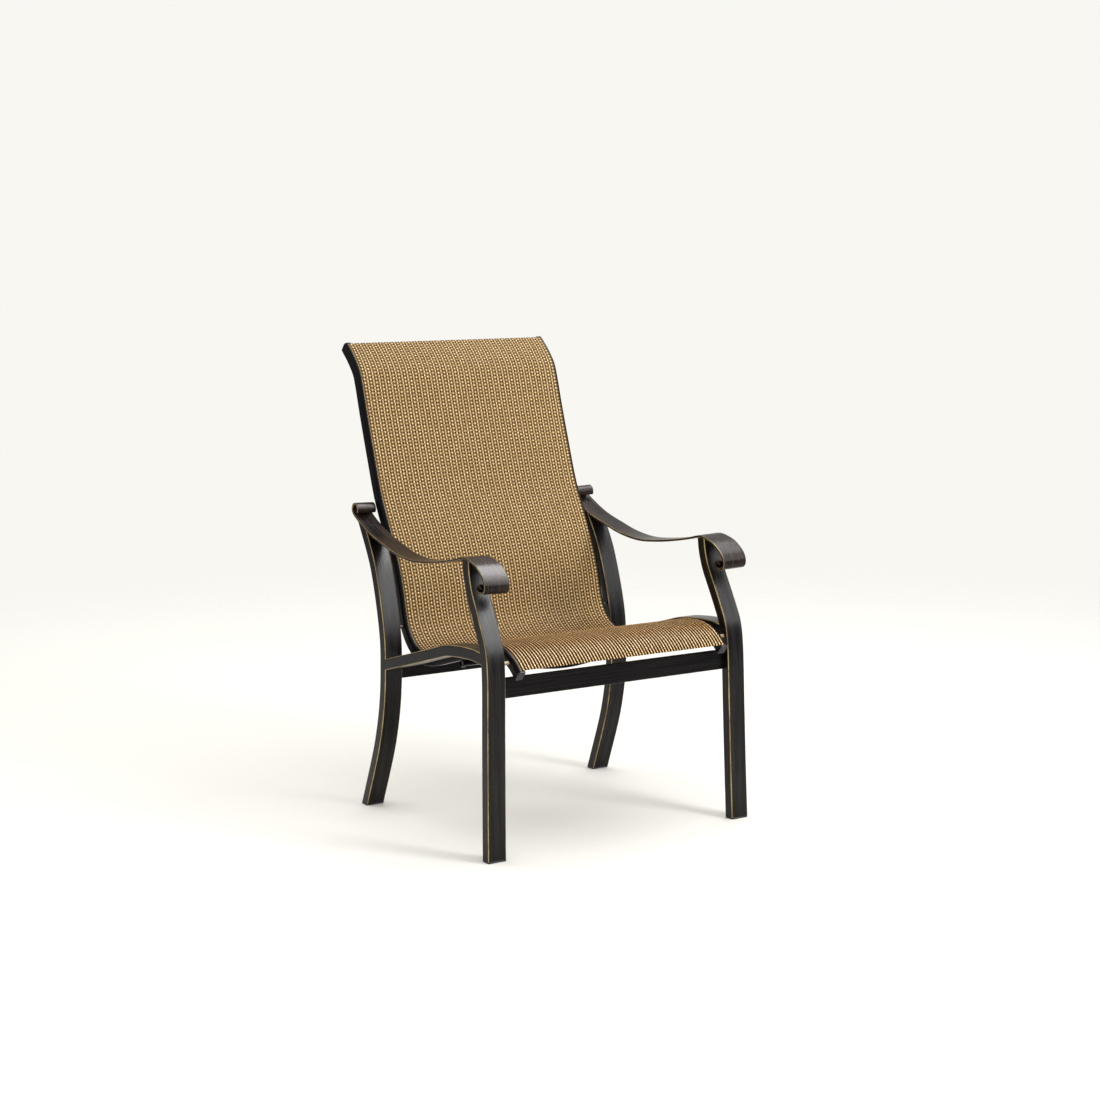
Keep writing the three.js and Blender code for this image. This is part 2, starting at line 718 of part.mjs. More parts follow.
function spreaderScrew(station, side) {
  const head = spreaderBehind + spreaderDepth + gap;
  const tip = -railBottom - railWall - screwBite;
  return screwRod(side, screwHeadRadius, head, head + screwHeadHeight, station)
    .add(screwRod(side, screwRadius, tip, head + screwHeadHeight / 2, station));
}

for (const [name, side] of sides) {
  add(`${name}_front_leg`, 'bronze', leg(frontLegPath, side));
  add(`${name}_rear_leg`, 'bronze', leg(rearLegPath, side));
  add(`${name}_side_rail`, 'bronze', sideRail(side));
  add(`${name}_arm`, 'bronze', arm(side));
  add(`${name}_front_glide`, 'plastic', glide(frontLegPath, side));
  add(`${name}_rear_glide`, 'plastic', glide(rearLegPath, side));
  add(`${name}_sling_rail`, 'bronze', slingRail(side));
  add(`${name}_sling_spline`, 'spline', spline(side));
  add(`${name}_front_end_cap`, 'plastic', frontCap(side));
  add(`${name}_top_end_cap`, 'plastic', topCap(side));
}

const frontRailMiddle = frontLegPath.pointAtHeight(between(levelStops, frontRailLevelShare));
frontRailMiddle.y += frontRailSetback + (crossRailThickness - tubeThickness) / 2;
const rearRailMiddle = rearLegPath.pointAtHeight(between(levelStops, rearRailLevelShare));
add('front_cross_rail', 'bronze', crossRail(frontRailMiddle));
add('rear_cross_rail', 'bronze', crossRail(rearRailMiddle));
add('sling', 'fabric', slingSheet());
for (const each of spreaders) {
  add(`${each.name}_spreader`, 'bronze', spreader(each));
  for (const [name, side] of sides) {
    add(`${name}_${each.name}_screw`, 'steel', geometryOf(spreaderScrew(each.station, side)));
  }
}
for (const [name, side] of sides) {
  bolts.forEach((middle, i) => {
    const where = `${name}_${boltNames[i]}`;
    const legFace = innerFaceAt(middle.y, middle.z);
    add(`${where}_bolt`, 'steel', geometryOf(bolt(side, middle, legFace)));
    add(`${where}_washer`, 'steel', geometryOf(washer(side, middle)));
    add(`${where}_spacer`, spacerFinishes[i], geometryOf(spacer(side, middle, legFace)));
    add(`${where}_insert`, 'steel', geometryOf(insert(side, middle, legFace)));
  });
}

// The origin lies on the floor under the middle of the chair
const extent = new THREE.Box3().setFromObject(chair);
chair.position.y = -(extent.min.y + extent.max.y) / 2;

export default chair;
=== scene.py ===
"""A high-backed patio armchair: a frame of bent flat tube with scrolled arms, and a woven sling.

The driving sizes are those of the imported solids, and the sling's solid gives the chair's place in the
frame. Each sub-assembly below makes the fine shape of its pieces, dresses them and stands them for
the solids. Lengths are in metres. X runs across the chair, Y from front to back and Z up.
"""

import logging
import math
from collections.abc import Callable, Sequence
from dataclasses import dataclass, field
from enum import Enum

import bmesh
import bpy
import numpy as np
from mathutils import Matrix, Vector
from mathutils.geometry import tessellate_polygon


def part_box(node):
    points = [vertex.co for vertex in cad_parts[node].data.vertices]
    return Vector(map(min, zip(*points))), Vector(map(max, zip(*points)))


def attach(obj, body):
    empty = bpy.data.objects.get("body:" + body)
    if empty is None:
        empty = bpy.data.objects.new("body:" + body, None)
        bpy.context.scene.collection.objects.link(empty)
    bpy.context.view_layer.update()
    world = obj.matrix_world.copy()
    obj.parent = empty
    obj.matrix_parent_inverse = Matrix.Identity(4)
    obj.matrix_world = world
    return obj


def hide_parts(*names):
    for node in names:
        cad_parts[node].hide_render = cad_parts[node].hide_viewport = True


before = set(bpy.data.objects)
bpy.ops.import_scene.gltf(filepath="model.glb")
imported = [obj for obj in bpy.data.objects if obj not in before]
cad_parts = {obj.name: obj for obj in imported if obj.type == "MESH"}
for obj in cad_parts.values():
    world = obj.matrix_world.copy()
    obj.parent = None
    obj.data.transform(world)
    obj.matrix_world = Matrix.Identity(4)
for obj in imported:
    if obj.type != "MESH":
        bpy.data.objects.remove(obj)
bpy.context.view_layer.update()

log = logging.getLogger("patio_chair")

# Driving sizes
OVERALL_WIDTH = 0.673
FRAME_DEPTH = 0.582
NOSE_REACH = 0.0134
BACK_REACH = 0.159
SEAT_HEIGHT = 0.443
ARM_RISE = 0.187
BACK_RISE = 0.412
LEAN_SHARE = 0.02
TOE_IN_SHARE = 0.01

# Fits, steps and settings that several pieces share
GAP = 0.0003
PAST = 0.03
LINE_STEP = 0.0005
TRIM_STEP = 4 * LINE_STEP
PARALLEL = 1e-15
VIEW_REACH = 1.0
LATHE_SEGMENTS = 36
ROUNDING_SHARES = (0.15, 0.5, 1)
SIX_SIDED = True
CLOUDY = (0.35, 0.7)

# Side view. A place is [depth share, level share]. Depth: 0 front edge of the sling, 1 front feet,
# 2 rear feet, 3 top edge. Level: 0 floor, 1 seat, 2 arms, 3 top edge.
DEPTH_STOPS = (-NOSE_REACH, 0.0, FRAME_DEPTH, FRAME_DEPTH + BACK_REACH)
LEVEL_STOPS = (0.0, SEAT_HEIGHT, SEAT_HEIGHT + ARM_RISE, SEAT_HEIGHT + ARM_RISE + BACK_RISE)

FRONT_LEG_SHARES = (
    (1.019, -0.045), (1.02, 0), (1.026, 0.248), (1.032, 0.564), (1.037, 0.858), (1.043, 0.944),
    (1.054, 1.011), (1.073, 1.134), (1.095, 1.267), (1.128, 1.455), (1.153, 1.599), (1.168, 1.722),
    (1.177, 1.84), (1.181, 1.973), (1.181, 2.049),
)
REAR_LEG_SHARES = (
    (1.995, -0.056), (1.976, 0), (1.932, 0.135), (1.904, 0.221), (1.868, 0.343), (1.838, 0.488),
    (1.823, 0.614), (1.819, 0.74), (1.822, 0.869), (1.84, 0.993), (1.876, 1.364), (1.909, 1.626),
    (1.954, 1.866), (1.988, 2.012), (2.063, 2.073),
)
SIDE_RAIL_SHARES = (
    (1.038, 0.953), (1.113, 0.966), (1.196, 0.964), (1.258, 0.957), (1.325, 0.945), (1.4, 0.918),
    (1.601, 0.844), (1.794, 0.775), (1.821, 0.765),
)
ARM_SHARES = (
    (2.025, 2.041), (1.926, 1.988), (1.821, 1.902), (1.718, 1.829), (1.593, 1.793), (1.469, 1.821),
    (1.335, 1.882), (1.241, 1.939), (1.203, 1.968), (1.167, 1.986), (1.125, 1.965), (1.086, 1.928),
    (1.058, 1.877), (1.034, 1.818), (1.023, 1.762), (1.02, 1.711), (1.025, 1.668), (1.037, 1.646),
)
REAR_ROLL_SHARE = (2.189, 2.109)
FRONT_CURL_SHARE = (1.06, 1.682)
FLARE_SHARES = (1.07, 1.345)
SLING_SHARES = (
    (0, 0.91), (1.017, 0.954), (1.082, 0.992), (1.144, 1), (1.223, 0.992), (1.321, 0.959),
    (1.5, 0.894), (1.584, 0.863), (1.639, 0.85), (1.687, 0.848), (1.742, 0.871), (1.782, 0.912),
    (1.808, 0.962), (1.825, 1.064), (1.844, 1.305), (1.873, 1.578), (1.914, 1.856), (1.967, 2.068),
    (2.038, 2.185), (2.245, 2.406), (2.447, 2.637), (2.566, 2.786), (2.642, 2.859), (2.818, 2.939),
    (3, 3),
)
FRONT_RAIL_LEVEL_SHARE = 0.814
REAR_RAIL_LEVEL_SHARE = 0.739

# The place of each spreader, as shares, and how far it bows out behind the sling
SPREADERS = {
    "seat": ((1.423, 0.922), 0.032),
    "lower_back": ((1.873, 1.578), 0.024),
    "upper_back": ((2.447, 2.637), 0.024),
}

Place = Callable[[np.ndarray, np.ndarray, np.ndarray], np.ndarray]
Bound = float | Callable[[float, float], float]
Colour = tuple[float, float, float, float]
Spot = tuple[float, float, float]


class Side(Enum):
    """The two halves of the chair, and the sign of X on each."""

    LEFT = -1
    RIGHT = 1

    @property
    def word(self) -> str:
        """The side's name in a piece's name."""
        return self.name.lower()


def between(stops: Sequence[float], share: float) -> float:
    """The value at a share of a row of stops."""
    start = min(max(math.floor(share), 0), len(stops) - 2)
    return stops[start] + (stops[start + 1] - stops[start]) * (share - start)


def place(share: Sequence[float]) -> np.ndarray:
    """The point of the side view at a depth share and a level share."""
    return np.array([between(DEPTH_STOPS, share[0]), between(LEVEL_STOPS, share[1])])


def level_line(height: float) -> np.ndarray:
    """A level line across the side view."""
    return np.array([[-VIEW_REACH, height], [VIEW_REACH, height]])


def columns(*rows: np.ndarray) -> np.ndarray:
    """Rows of numbers turned into columns, so that each point is a row."""
    return np.stack(rows, axis=1)


def cross(first: np.ndarray, second: np.ndarray) -> np.ndarray:
    """The cross product of directions in the side view."""
    return first[..., 0] * second[..., 1] - first[..., 1] * second[..., 0]


def arc(centre: np.ndarray, radius: float, start: float, end: float, steps: int) -> np.ndarray:
    """Points of a circular arc between two angles in degrees."""
    angles = np.radians(np.linspace(start, end, steps + 1))
    return centre + radius * columns(np.cos(angles), np.sin(angles))


def circle(centre: np.ndarray, radius: float, count: int) -> np.ndarray:
    """Points evenly spaced round a circle."""
    return arc(centre, radius, 0, 360 * (count - 1) / count, count - 1)


def smoothstep(low: float, high: float, value: np.ndarray) -> np.ndarray:
    """A smooth rise from 0 at low to 1 at high."""
    share = np.clip((value - low) / (high - low), 0, 1)
    return share * share * (3 - 2 * share)


class SideLine:
    """A bent line of the side view, finely sampled."""

    SPAN_STEPS = 40
    EASE_SPREADS = 3

    def __init__(self, points: np.ndarray) -> None:
        """Measures a line through finely spaced points.

        Args:
            points: Depth and level of each point.
        """
        self.points = points
        steps = np.linalg.norm(np.diff(points, axis=0), axis=1)
        self.lengths = np.concatenate([[0], np.cumsum(steps)])
        slope = np.gradient(points, self.lengths, axis=0)
        self.tangents = slope / np.linalg.norm(slope, axis=1, keepdims=True)

    @classmethod
    def through(cls, knots: np.ndarray, ease: float = 0.0) -> "SideLine":
        """A smooth line through knots.

        Args:
            knots: Depth and level of each knot.
            ease: Reach over which small waves in the curve are evened out.

        Returns:
            The line, sampled every LINE_STEP.
        """
        padded = np.vstack([2 * knots[0] - knots[1], knots, 2 * knots[-1] - knots[-2]])
        share = np.linspace(0, 1, cls.SPAN_STEPS, endpoint=False)[:, None]
        spans = []
        for before, start, end, after in zip(padded, padded[1:], padded[2:], padded[3:]):
            steps = (start - before, end - start, after - end)
            gaps = [math.sqrt(np.linalg.norm(step)) for step in steps]
            leave = (start - before) / gaps[0] - (end - before) / (gaps[0] + gaps[1])
            arrive = (after - end) / gaps[2] - (after - start) / (gaps[1] + gaps[2])
            leave = leave * gaps[1] + (end - start)
            arrive = arrive * gaps[1] + (end - start)
            square = 3 * (end - start) - 2 * leave - arrive
            cube = 2 * (start - end) + leave + arrive
            spans.append(start + share * (leave + share * (square + share * cube)))
        line = cls(np.vstack([*spans, knots[-1:]]))
        count = round(line.length / LINE_STEP)
        points, _ = line.at(np.linspace(0, line.length, count + 1))
        return cls(cls._eased(points, ease))

    @staticmethod
    def _eased(points: np.ndarray, ease: float) -> np.ndarray:
        """Points evened out over a reach, with both ends kept."""
        if ease <= 0:
            return points
        reach = int(SideLine.EASE_SPREADS * ease / LINE_STEP)
        weights = np.exp(-0.5 * (np.arange(-reach, reach + 1) * LINE_STEP / ease) ** 2)
        weights /= weights.sum()
        head = 2 * points[0] - points[reach:0:-1]
        tail = 2 * points[-1] - points[-2:-reach - 2:-1]
        padded = np.vstack([head, points, tail])
        return columns(*(np.convolve(row, weights, "valid") for row in padded.T))

    @property
    def length(self) -> float:
        """The line's whole length."""
        return float(self.lengths[-1])

    def at(self, lengths: np.ndarray) -> tuple[np.ndarray, np.ndarray]:
        """Places on the line, which runs straight on past both ends.

        Args:
            lengths: Distances along the line.

        Returns:
            The points and the unit tangents there.
        """
        lengths = np.atleast_1d(np.asarray(lengths, float))
        inside = np.clip(lengths, 0, self.length)
        points, tangents = (
            columns(*(np.interp(inside, self.lengths, row) for row in known.T))
            for known in (self.points, self.tangents)
        )
        tangents /= np.linalg.norm(tangents, axis=1, keepdims=True)
        return points + tangents * (lengths - inside)[:, None], tangents

    def shifted(self, distance: float | np.ndarray, lengths: np.ndarray) -> np.ndarray:
        """Points a distance above the line, square to it, at some lengths."""
        points, tangents = self.at(lengths)
        above = columns(-tangents[:, 1], tangents[:, 0])
        return points + above * np.reshape(distance, (-1, 1))

    def near(self, point: np.ndarray) -> float:
        """The length at which the line comes nearest to a point."""
        return float(self.lengths[np.argmin(np.linalg.norm(self.points - point, axis=1))])

    def meets(self, distance: float, cutter: np.ndarray, last: bool = False) -> float:
        """Where the line moved by a distance crosses another line.

        Args:
            distance: How far the line is moved, square to itself.
            cutter: Points of the other line.
            last: True for the last crossing rather than the first.

        Returns:
            The length along the line at the crossing.
        """
        lengths = np.arange(-PAST, self.length + PAST, TRIM_STEP)
        fibre = self.shifted(distance, lengths)
        start, along = fibre[:-1, None], np.diff(fibre, axis=0)[:, None]
        foot, other = cutter[None, :-1], np.diff(cutter, axis=0)[None]
        offset = foot - start
        turn = cross(along, other)
        turn = np.where(np.abs(turn) < PARALLEL, PARALLEL, turn)
        mine, theirs = cross(offset, other) / turn, cross(offset, along) / turn
        hit = np.argwhere((mine >= 0) & (mine < 1) & (theirs >= 0) & (theirs < 1))
        if not len(hit):
            raise ValueError("a member does not reach the line that trims it")
        i, j = hit[-1 if last else 0]
        return float(lengths[i] + mine[i, j] * (lengths[i + 1] - lengths[i]))

    def stations(self, start: float, end: float, spacing: float, turn: float) -> np.ndarray:
        """Lengths for the rings of a sweep, closer together where the line bends.

        Args:
            start: First length.
            end: Last length.
            spacing: Longest step.
            turn: Largest bend between two rings, in radians.

        Returns:
            The lengths, from start to end.
        """
        fine = np.linspace(start, end, max(int((end - start) / LINE_STEP), 2))
        _, tangents = self.at(fine)
        bend = np.abs(np.diff(np.unwrap(np.arctan2(tangents[:, 1], tangents[:, 0]))))
        cost = np.concatenate([[0], np.cumsum(np.diff(fine) / spacing + bend / turn)])
        return np.interp(np.linspace(0, cost[-1], math.ceil(cost[-1]) + 1), cost, fine)


@dataclass
class Outline:
    """A closed outline of a section, with the share of rubbing at each point."""

    points: np.ndarray
    wear: np.ndarray

    @classmethod
    def rounded(
        cls,
        low: Sequence[float],
        high: Sequence[float],
        radii: Sequence[float],
        segments: int = 5,
        support: float = 0.0008,
    ) -> "Outline":
        """A rectangle with rounded corners.

        Args:
            low: Low corner.
            high: High corner.
            radii: Radii of the high right, high left, low left and low right corners.
            segments: Steps of each corner.
            support: Distance of the points beside a corner, which keep the flats flat.

        Returns:
            The outline, anticlockwise.
        """
        centres = (
            (high[0] - radii[0], high[1] - radii[0], 0, (0, -1), (-1, 0)),
            (low[0] + radii[1], high[1] - radii[1], 90, (1, 0), (0, -1)),
            (low[0] + radii[2], low[1] + radii[2], 180, (0, 1), (1, 0)),
            (high[0] - radii[3], low[1] + radii[3], 270, (-1, 0), (0, 1)),
        )
        points, wear = [], []
        for (x, y, turn, before, after), radius in zip(centres, radii):
            bend = arc(np.array([x, y]), radius, turn, turn + 90, segments)
            points += [bend[0] + support * np.array(before), *bend, bend[-1] + support * np.array(after)]
            wear += [0.0, *np.sin(np.linspace(0, np.pi, segments + 1)), 0.0]
        return cls(np.array(points), np.array(wear))

    @classmethod
    def centred(cls, width: float, height: float, radius: float, segments: int = 5) -> "Outline":
        """A rounded rectangle about the origin."""
        high = (width / 2, height / 2)
        return cls.rounded((-high[0], -high[1]), high, [radius] * 4, segments)

    @classmethod
    def hollow(cls, width: float, height: float, corner: float, wall: float) -> list["Outline"]:
        """The section of a tube: its outer outline and its bore."""
        bore = cls.centred(width - 2 * wall, height - 2 * wall, corner - wall)
        return [cls.centred(width, height, corner), bore]

    def inset(self, distance: float) -> "Outline":
        """The outline drawn in towards its middle by about a distance on every side."""
        low, high = self.points.min(0), self.points.max(0)
        middle, half = (low + high) / 2, (high - low) / 2
        return Outline(middle + (self.points - middle) * (1 - distance / half), self.wear)

    @property
    def around(self) -> np.ndarray:
        """The distance of each point along the outline from the first."""
        steps = np.linalg.norm(np.diff(self.points, axis=0), axis=1)
        return np.concatenate([[0], np.cumsum(steps)])


def add_object(name: str, data: bpy.types.ID) -> bpy.types.Object:
    """Adds an object to the scene."""
    made = bpy.data.objects.new(name, data)
    bpy.context.scene.collection.objects.link(made)
    return made


def add_face(name: str, corners: Sequence, material: bpy.types.Material) -> bpy.types.Object:
    """Adds one flat face that belongs to the studio."""
    mesh = bpy.data.meshes.new(name)
    mesh.from_pydata(corners, [], [(0, 1, 2, 3)])
    mesh.materials.append(material)
    made = add_object(name, mesh)
    return made


@dataclass(frozen=True)
class Coat:
    """A material, and the name of a slot, which is kept with it but not read."""

    material: bpy.types.Material
    slot: str


class Shell:
    """A mesh in the making: rings of points, joined into walls and closed by caps."""

    SHARP = math.radians(40)

    def __init__(self) -> None:
        """Starts with nothing."""
        self.points: list[np.ndarray] = []
        self.faces: list[tuple[int, ...]] = []
        self.wear: list[np.ndarray] = []
        self.run: list[np.ndarray] = []
        self.count = 0

    def ring(
        self, points: np.ndarray, wear: np.ndarray | float = 0.0, run: np.ndarray | None = None
    ) -> int:
        """Adds one ring.

        Args:
            points: The ring's points.
            wear: Share of rubbing at each point.
            run: Distances along and around the piece at each point.

        Returns:
            The index of its first point.
        """
        start = self.count
        self.points.append(points)
        self.wear.append(np.broadcast_to(wear, len(points)))
        self.run.append(np.zeros((len(points), 3)) if run is None else run)
        self.count += len(points)
        return start

    def tube(self, starts: Sequence[int], size: int) -> None:
        """Joins rings of the same size in order."""
        for first, second in zip(starts, starts[1:]):
            for i in range(size):
                j = (i + 1) % size
                self.faces.append((first + i, first + j, second + j, second + i))

    def cap(self, starts: Sequence[int], outlines: Sequence[np.ndarray]) -> None:
        """Closes the rings that begin at the given points.

        Args:
            starts: Index of each ring's first point: the outer ring, then any holes.
            outlines: The flat outline of each ring.
        """
        index = [start + i for start, outline in zip(starts, outlines) for i in range(len(outline))]
        loops = [[Vector((x, y, 0)) for x, y in outline] for outline in outlines]
        self.faces += [tuple(index[i] for i in triangle) for triangle in tessellate_polygon(loops)]

    def solid(self, starts: Sequence[int], size: int) -> None:
        """Joins rings in order and closes both ends, each with one flat face."""
        self.tube(starts, size)
        for start in (starts[0], starts[-1]):
            self.faces.append(tuple(range(start, start + size)))

    def piece(self, node: str, form: str, coat: Coat) -> bpy.types.Object:
        """Makes the mesh and hands it to the frame.

        Args:
            node: Name of the solid that it stands for.
            form: What it is, which ends its own name.
            coat: Its finish.

        Returns:
            The new object.
        """
        name, points = f"{node}_{form}", np.vstack(self.points)
        mesh = bpy.data.meshes.new(name)
        mesh.from_pydata(points.tolist(), [], self.faces)
        wear = mesh.attributes.new("wear", "FLOAT", "POINT")
        wear.data.foreach_set("value", np.concatenate(self.wear).astype(np.float32))
        run = mesh.attributes.new("run", "FLOAT_VECTOR", "POINT")
        run.data.foreach_set("vector", np.vstack(self.run).astype(np.float32).ravel())
        made = bmesh.new()
        made.from_mesh(mesh)
        bmesh.ops.recalc_face_normals(made, faces=made.faces)
        made.to_mesh(mesh)
        made.free()
        mesh.shade_smooth()
        mesh.set_sharp_from_angle(angle=self.SHARP)
        mesh.materials.append(coat.material)
        made_object = add_object(name, mesh)
        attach(made_object, "root")
        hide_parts(node)
        log.info("%s: %d points, %d faces", name, len(points), len(self.faces))
        return made_object


def sweep(
    shell: Shell,
    line: SideLine,
    outlines: Sequence[Outline],
    start: Bound,
    end: Bound,
    put: Place,
    spacing: float = 0.008,
    turn: float = math.radians(5),
    rounding: float = 0.0,
) -> None:
    """Sweeps a section along a line of the side view.

    Args:
        shell: Where the walls and caps are added.
        line: The line.
        outlines: The section's outer outline and any holes.
        start: Length at which it starts, or a rule that gives it at a point of the section.
        end: Length at which it ends, or such a rule.
        put: Places points given by X, depth and level.
        spacing: Longest step along the line.
        turn: Largest bend between two rings.
        rounding: Radius of the edges of both end faces.
    """
    ends = []
    for bound in (start, end):
        rule = bound if callable(bound) else (lambda x, y, bound=bound: bound)
        ends.append([np.array([rule(x, y) for x, y in outline.points]) for outline in outlines])
    first, last = max(np.max(part) for part in ends[0]), min(np.min(part) for part in ends[1])
    inner = line.stations(first + rounding, last - rounding, spacing, turn)[1:-1]
    shares = ROUNDING_SHARES if rounding else ()
    for k, outline in enumerate(outlines):
        starts = []
        rounded = [(rounding * s, rounding * (1 - math.sqrt(1 - (1 - s) ** 2))) for s in shares]
        rings = [(ends[0][k], rounding)] + [(ends[0][k] + a, b) for a, b in rounded]
        rings += [(np.full(len(outline.points), s), 0.0) for s in inner]
        rings += [(ends[1][k] - a, b) for a, b in reversed(rounded)] + [(ends[1][k], rounding)]
        for lengths, drawn_in in rings:
            section = outline.inset(drawn_in).points
            side = line.shifted(section[:, 1], lengths)
            run = columns(lengths, outline.around, np.zeros(len(lengths)))
            starts.append(shell.ring(put(section[:, 0], *side.T), outline.wear, run))
        shell.tube(starts, len(outline.points))
        ends[0][k], ends[1][k] = starts[0], starts[-1]
    flat = [outline.points for outline in outlines]
    for caps in ends:
        shell.cap(caps, flat)


def lathe(shell: Shell, profile: Sequence[tuple], put: Callable[[np.ndarray], np.ndarray]) -> None:
    """Turns a profile about an axis.

    Args:
        shell: Where the walls are added.
        profile: Distance along the axis and radius of each ring, and SIX_SIDED for a six-sided
            ring. A profile that ends where it starts makes a ring with a bore.
        put: Places points given by the distance along the axis and two distances across it.
    """
    angles = np.linspace(0, 2 * math.pi, LATHE_SEGMENTS, endpoint=False)
    six = math.cos(math.pi / 6) / np.cos((angles % (math.pi / 3)) - math.pi / 6)
    closed = profile[0] == profile[-1]
    starts = []
    for distance, radius, *six_sided in profile[:-1] if closed else profile:
        along, reach = np.full(LATHE_SEGMENTS, distance), radius * (six if six_sided else 1)
        run = columns(along, radius * angles, np.zeros(LATHE_SEGMENTS))
        ring = put(columns(along, reach * np.cos(angles), reach * np.sin(angles)))
        starts.append(shell.ring(ring, 0.0, run))
    if closed:
        shell.tube([*starts, starts[0]], LATHE_SEGMENTS)
    else:
        shell.solid(starts, LATHE_SEGMENTS)


class Kind(Enum):
    """What a signal carries."""

    NUMBER = 0
    COLOUR = 1
    VECTOR = 2


@dataclass(frozen=True)
class Signal:
    """A socket that can be used in sums."""

    paint: "Paint"
    socket: bpy.types.NodeSocket
    kind: Kind = Kind.NUMBER

    def _with(self, work: str, first: "Feed", second: "Feed") -> "Signal":
        """The result of one operation on two values of this kind."""
        if self.kind is Kind.NUMBER:
            return self.paint.maths(work, first, second)
        if self.kind is Kind.VECTOR:
            return self.paint.vector_maths(work, first, second)
        return self.paint.blend(work, 1.0, first, second)

    def __add__(self, other: "Feed") -> "Signal":
        """self + other."""
        return self._with("ADD", self, other)

    def __radd__(self, other: "Feed") -> "Signal":
        """other + self."""
        return self._with("ADD", other, self)

    def __sub__(self, other: "Feed") -> "Signal":
        """self - other."""
        return self._with("SUBTRACT", self, other)

    def __rsub__(self, other: "Feed") -> "Signal":
        """other - self."""
        return self._with("SUBTRACT", other, self)

    def __mul__(self, other: "Feed") -> "Signal":
        """self * other."""
        return self._with("MULTIPLY", self, other)

    def __rmul__(self, other: "Feed") -> "Signal":
        """other * self."""
        return self._with("MULTIPLY", other, self)

    def __truediv__(self, other: "Feed") -> "Signal":
        """self / other."""
        return self._with("DIVIDE", self, other)

    def rise(self, low: float, high: float) -> "Signal":
        """A smooth rise from 0 to 1 while this goes from low to high."""
        settings = {"interpolation_type": "SMOOTHSTEP"}
        inputs = {"Value": self, "From Min": low, "From Max": high}
        return self.paint.read("ShaderNodeMapRange", settings, inputs, "Result")

    def apart(self) -> "Signal":
        """The distance of this to the nearest whole number."""
        shifted = self.paint.maths("FRACT", self + 0.5)
        return self.paint.maths("ABSOLUTE", shifted - 0.5)


Feed = Signal | float | tuple


class Paint:
    """A material in the making."""

    MIX_SOCKETS = {"factor": 0, "first": 6, "second": 7, "result": 2}
    NOISE_ROUGHNESS = 0.55

    def __init__(self, name: str, world: bool = False) -> None:
        """Starts an empty material or world."""
        self.material = (bpy.data.worlds if world else bpy.data.materials).new(name)
        self.material.use_nodes = True
        self.tree = self.material.node_tree
        self.tree.nodes.clear()

    def node(self, kind: str, settings: dict | None = None, inputs: dict | None = None) -> bpy.types.Node:
        """Adds a node.

        Args:
            kind: The node's type.
            settings: Its options, such as a Math node's operation, which are set first.
            inputs: The values or links of its sockets.

        Returns:
            The node.
        """
        made = self.tree.nodes.new(kind)
        for name, value in (settings or {}).items():
            setattr(made, name, value)
        for name, value in (inputs or {}).items():
            if isinstance(value, Signal):
                self.tree.links.new(value.socket, made.inputs[name])
            else:
                made.inputs[name].default_value = value
        return made

    def read(
        self, kind: str, settings: dict | None = None, inputs: dict | None = None,
        output: int | str = 0, carries: Kind = Kind.NUMBER,
    ) -> Signal:
        """Adds a node and reads one of its outputs.

        Args:
            kind: The node's type.
            settings: Its options.
            inputs: The values or links of its sockets.
            output: The output's place or name.
            carries: What the output carries.

        Returns:
            The output.
        """
        return Signal(self, self.node(kind, settings, inputs).outputs[output], carries)

    def maths(self, work: str, first: Feed, second: Feed = 0.0) -> Signal:
        """One Math node."""
        return self.read("ShaderNodeMath", {"operation": work}, {0: first, 1: second})

    def vector_maths(self, work: str, first: Feed, second: Feed = (0, 0, 0)) -> Signal:
        """One Vector Math node."""
        inputs = {0: first, 1: second}
        return self.read("ShaderNodeVectorMath", {"operation": work}, inputs, 0, Kind.VECTOR)

    def blend(self, work: str, factor: Feed, first: Feed, second: Feed) -> Signal:
        """One Mix node on two colours."""
        sockets = self.MIX_SOCKETS
        inputs = {sockets["factor"]: factor, sockets["first"]: first, sockets["second"]: second}
        settings = {"data_type": "RGBA", "blend_type": work}
        return self.read("ShaderNodeMix", settings, inputs, sockets["result"], Kind.COLOUR)

    def mixed(self, factor: Feed, first: Feed, second: Feed) -> Signal:
        """From the first colour to the second."""
        return self.blend("MIX", factor, first, second)

    def value_of(self, name: str) -> Signal:
        """A number that the mesh carries at each point."""
        return self.read("ShaderNodeAttribute", {"attribute_name": name}, None, "Fac")

    def vector_of(self, name: str) -> Signal:
        """A vector that the mesh carries at each point."""
        return self.read("ShaderNodeAttribute", {"attribute_name": name}, None, "Vector", Kind.VECTOR)

    def position(self) -> Signal:
        """The place in the piece's own space."""
        return self.read("ShaderNodeTexCoord", output="Object", carries=Kind.VECTOR)

    def parts(self, vector: Signal) -> tuple[Signal, Signal, Signal]:
        """The three numbers of a vector."""
        made = self.node("ShaderNodeSeparateXYZ", None, {0: vector})
        return tuple(Signal(self, socket) for socket in made.outputs)

    def noise(self, where: Signal, scale: Spot, detail: float = 3.0) -> Signal:
        """Smooth noise, from 0 to 1 about its middle.

        Args:
            where: The place.
            scale: Waves a metre along each axis of the place.
            detail: Number of finer layers.

        Returns:
            The noise.
        """
        grit = {"Detail": detail, "Roughness": self.NOISE_ROUGHNESS}
        inputs = {"Vector": where * scale, "Scale": 1.0, **grit}
        return self.read("ShaderNodeTexNoise", None, inputs, "Fac")

    def bump(self, height: Signal, depth: float) -> Signal:
        """A normal tilted by a height of a given depth in metres."""
        inputs = {"Strength": 1.0, "Distance": depth, "Height": height}
        return self.read("ShaderNodeBump", None, inputs, "Normal", Kind.VECTOR)

    def finish(self, **sockets: Feed) -> bpy.types.Material:
        """Adds the surface.

        Args:
            sockets: Values of the surface's sockets, with _ for each space in a name.

        Returns:
            The material.
        """
        inputs = {name.replace("_", " "): value for name, value in sockets.items()}
        surface = self.read("ShaderNodeBsdfPrincipled", None, inputs)
        self.node("ShaderNodeOutputMaterial", None, {"Surface": surface})
        return self.material


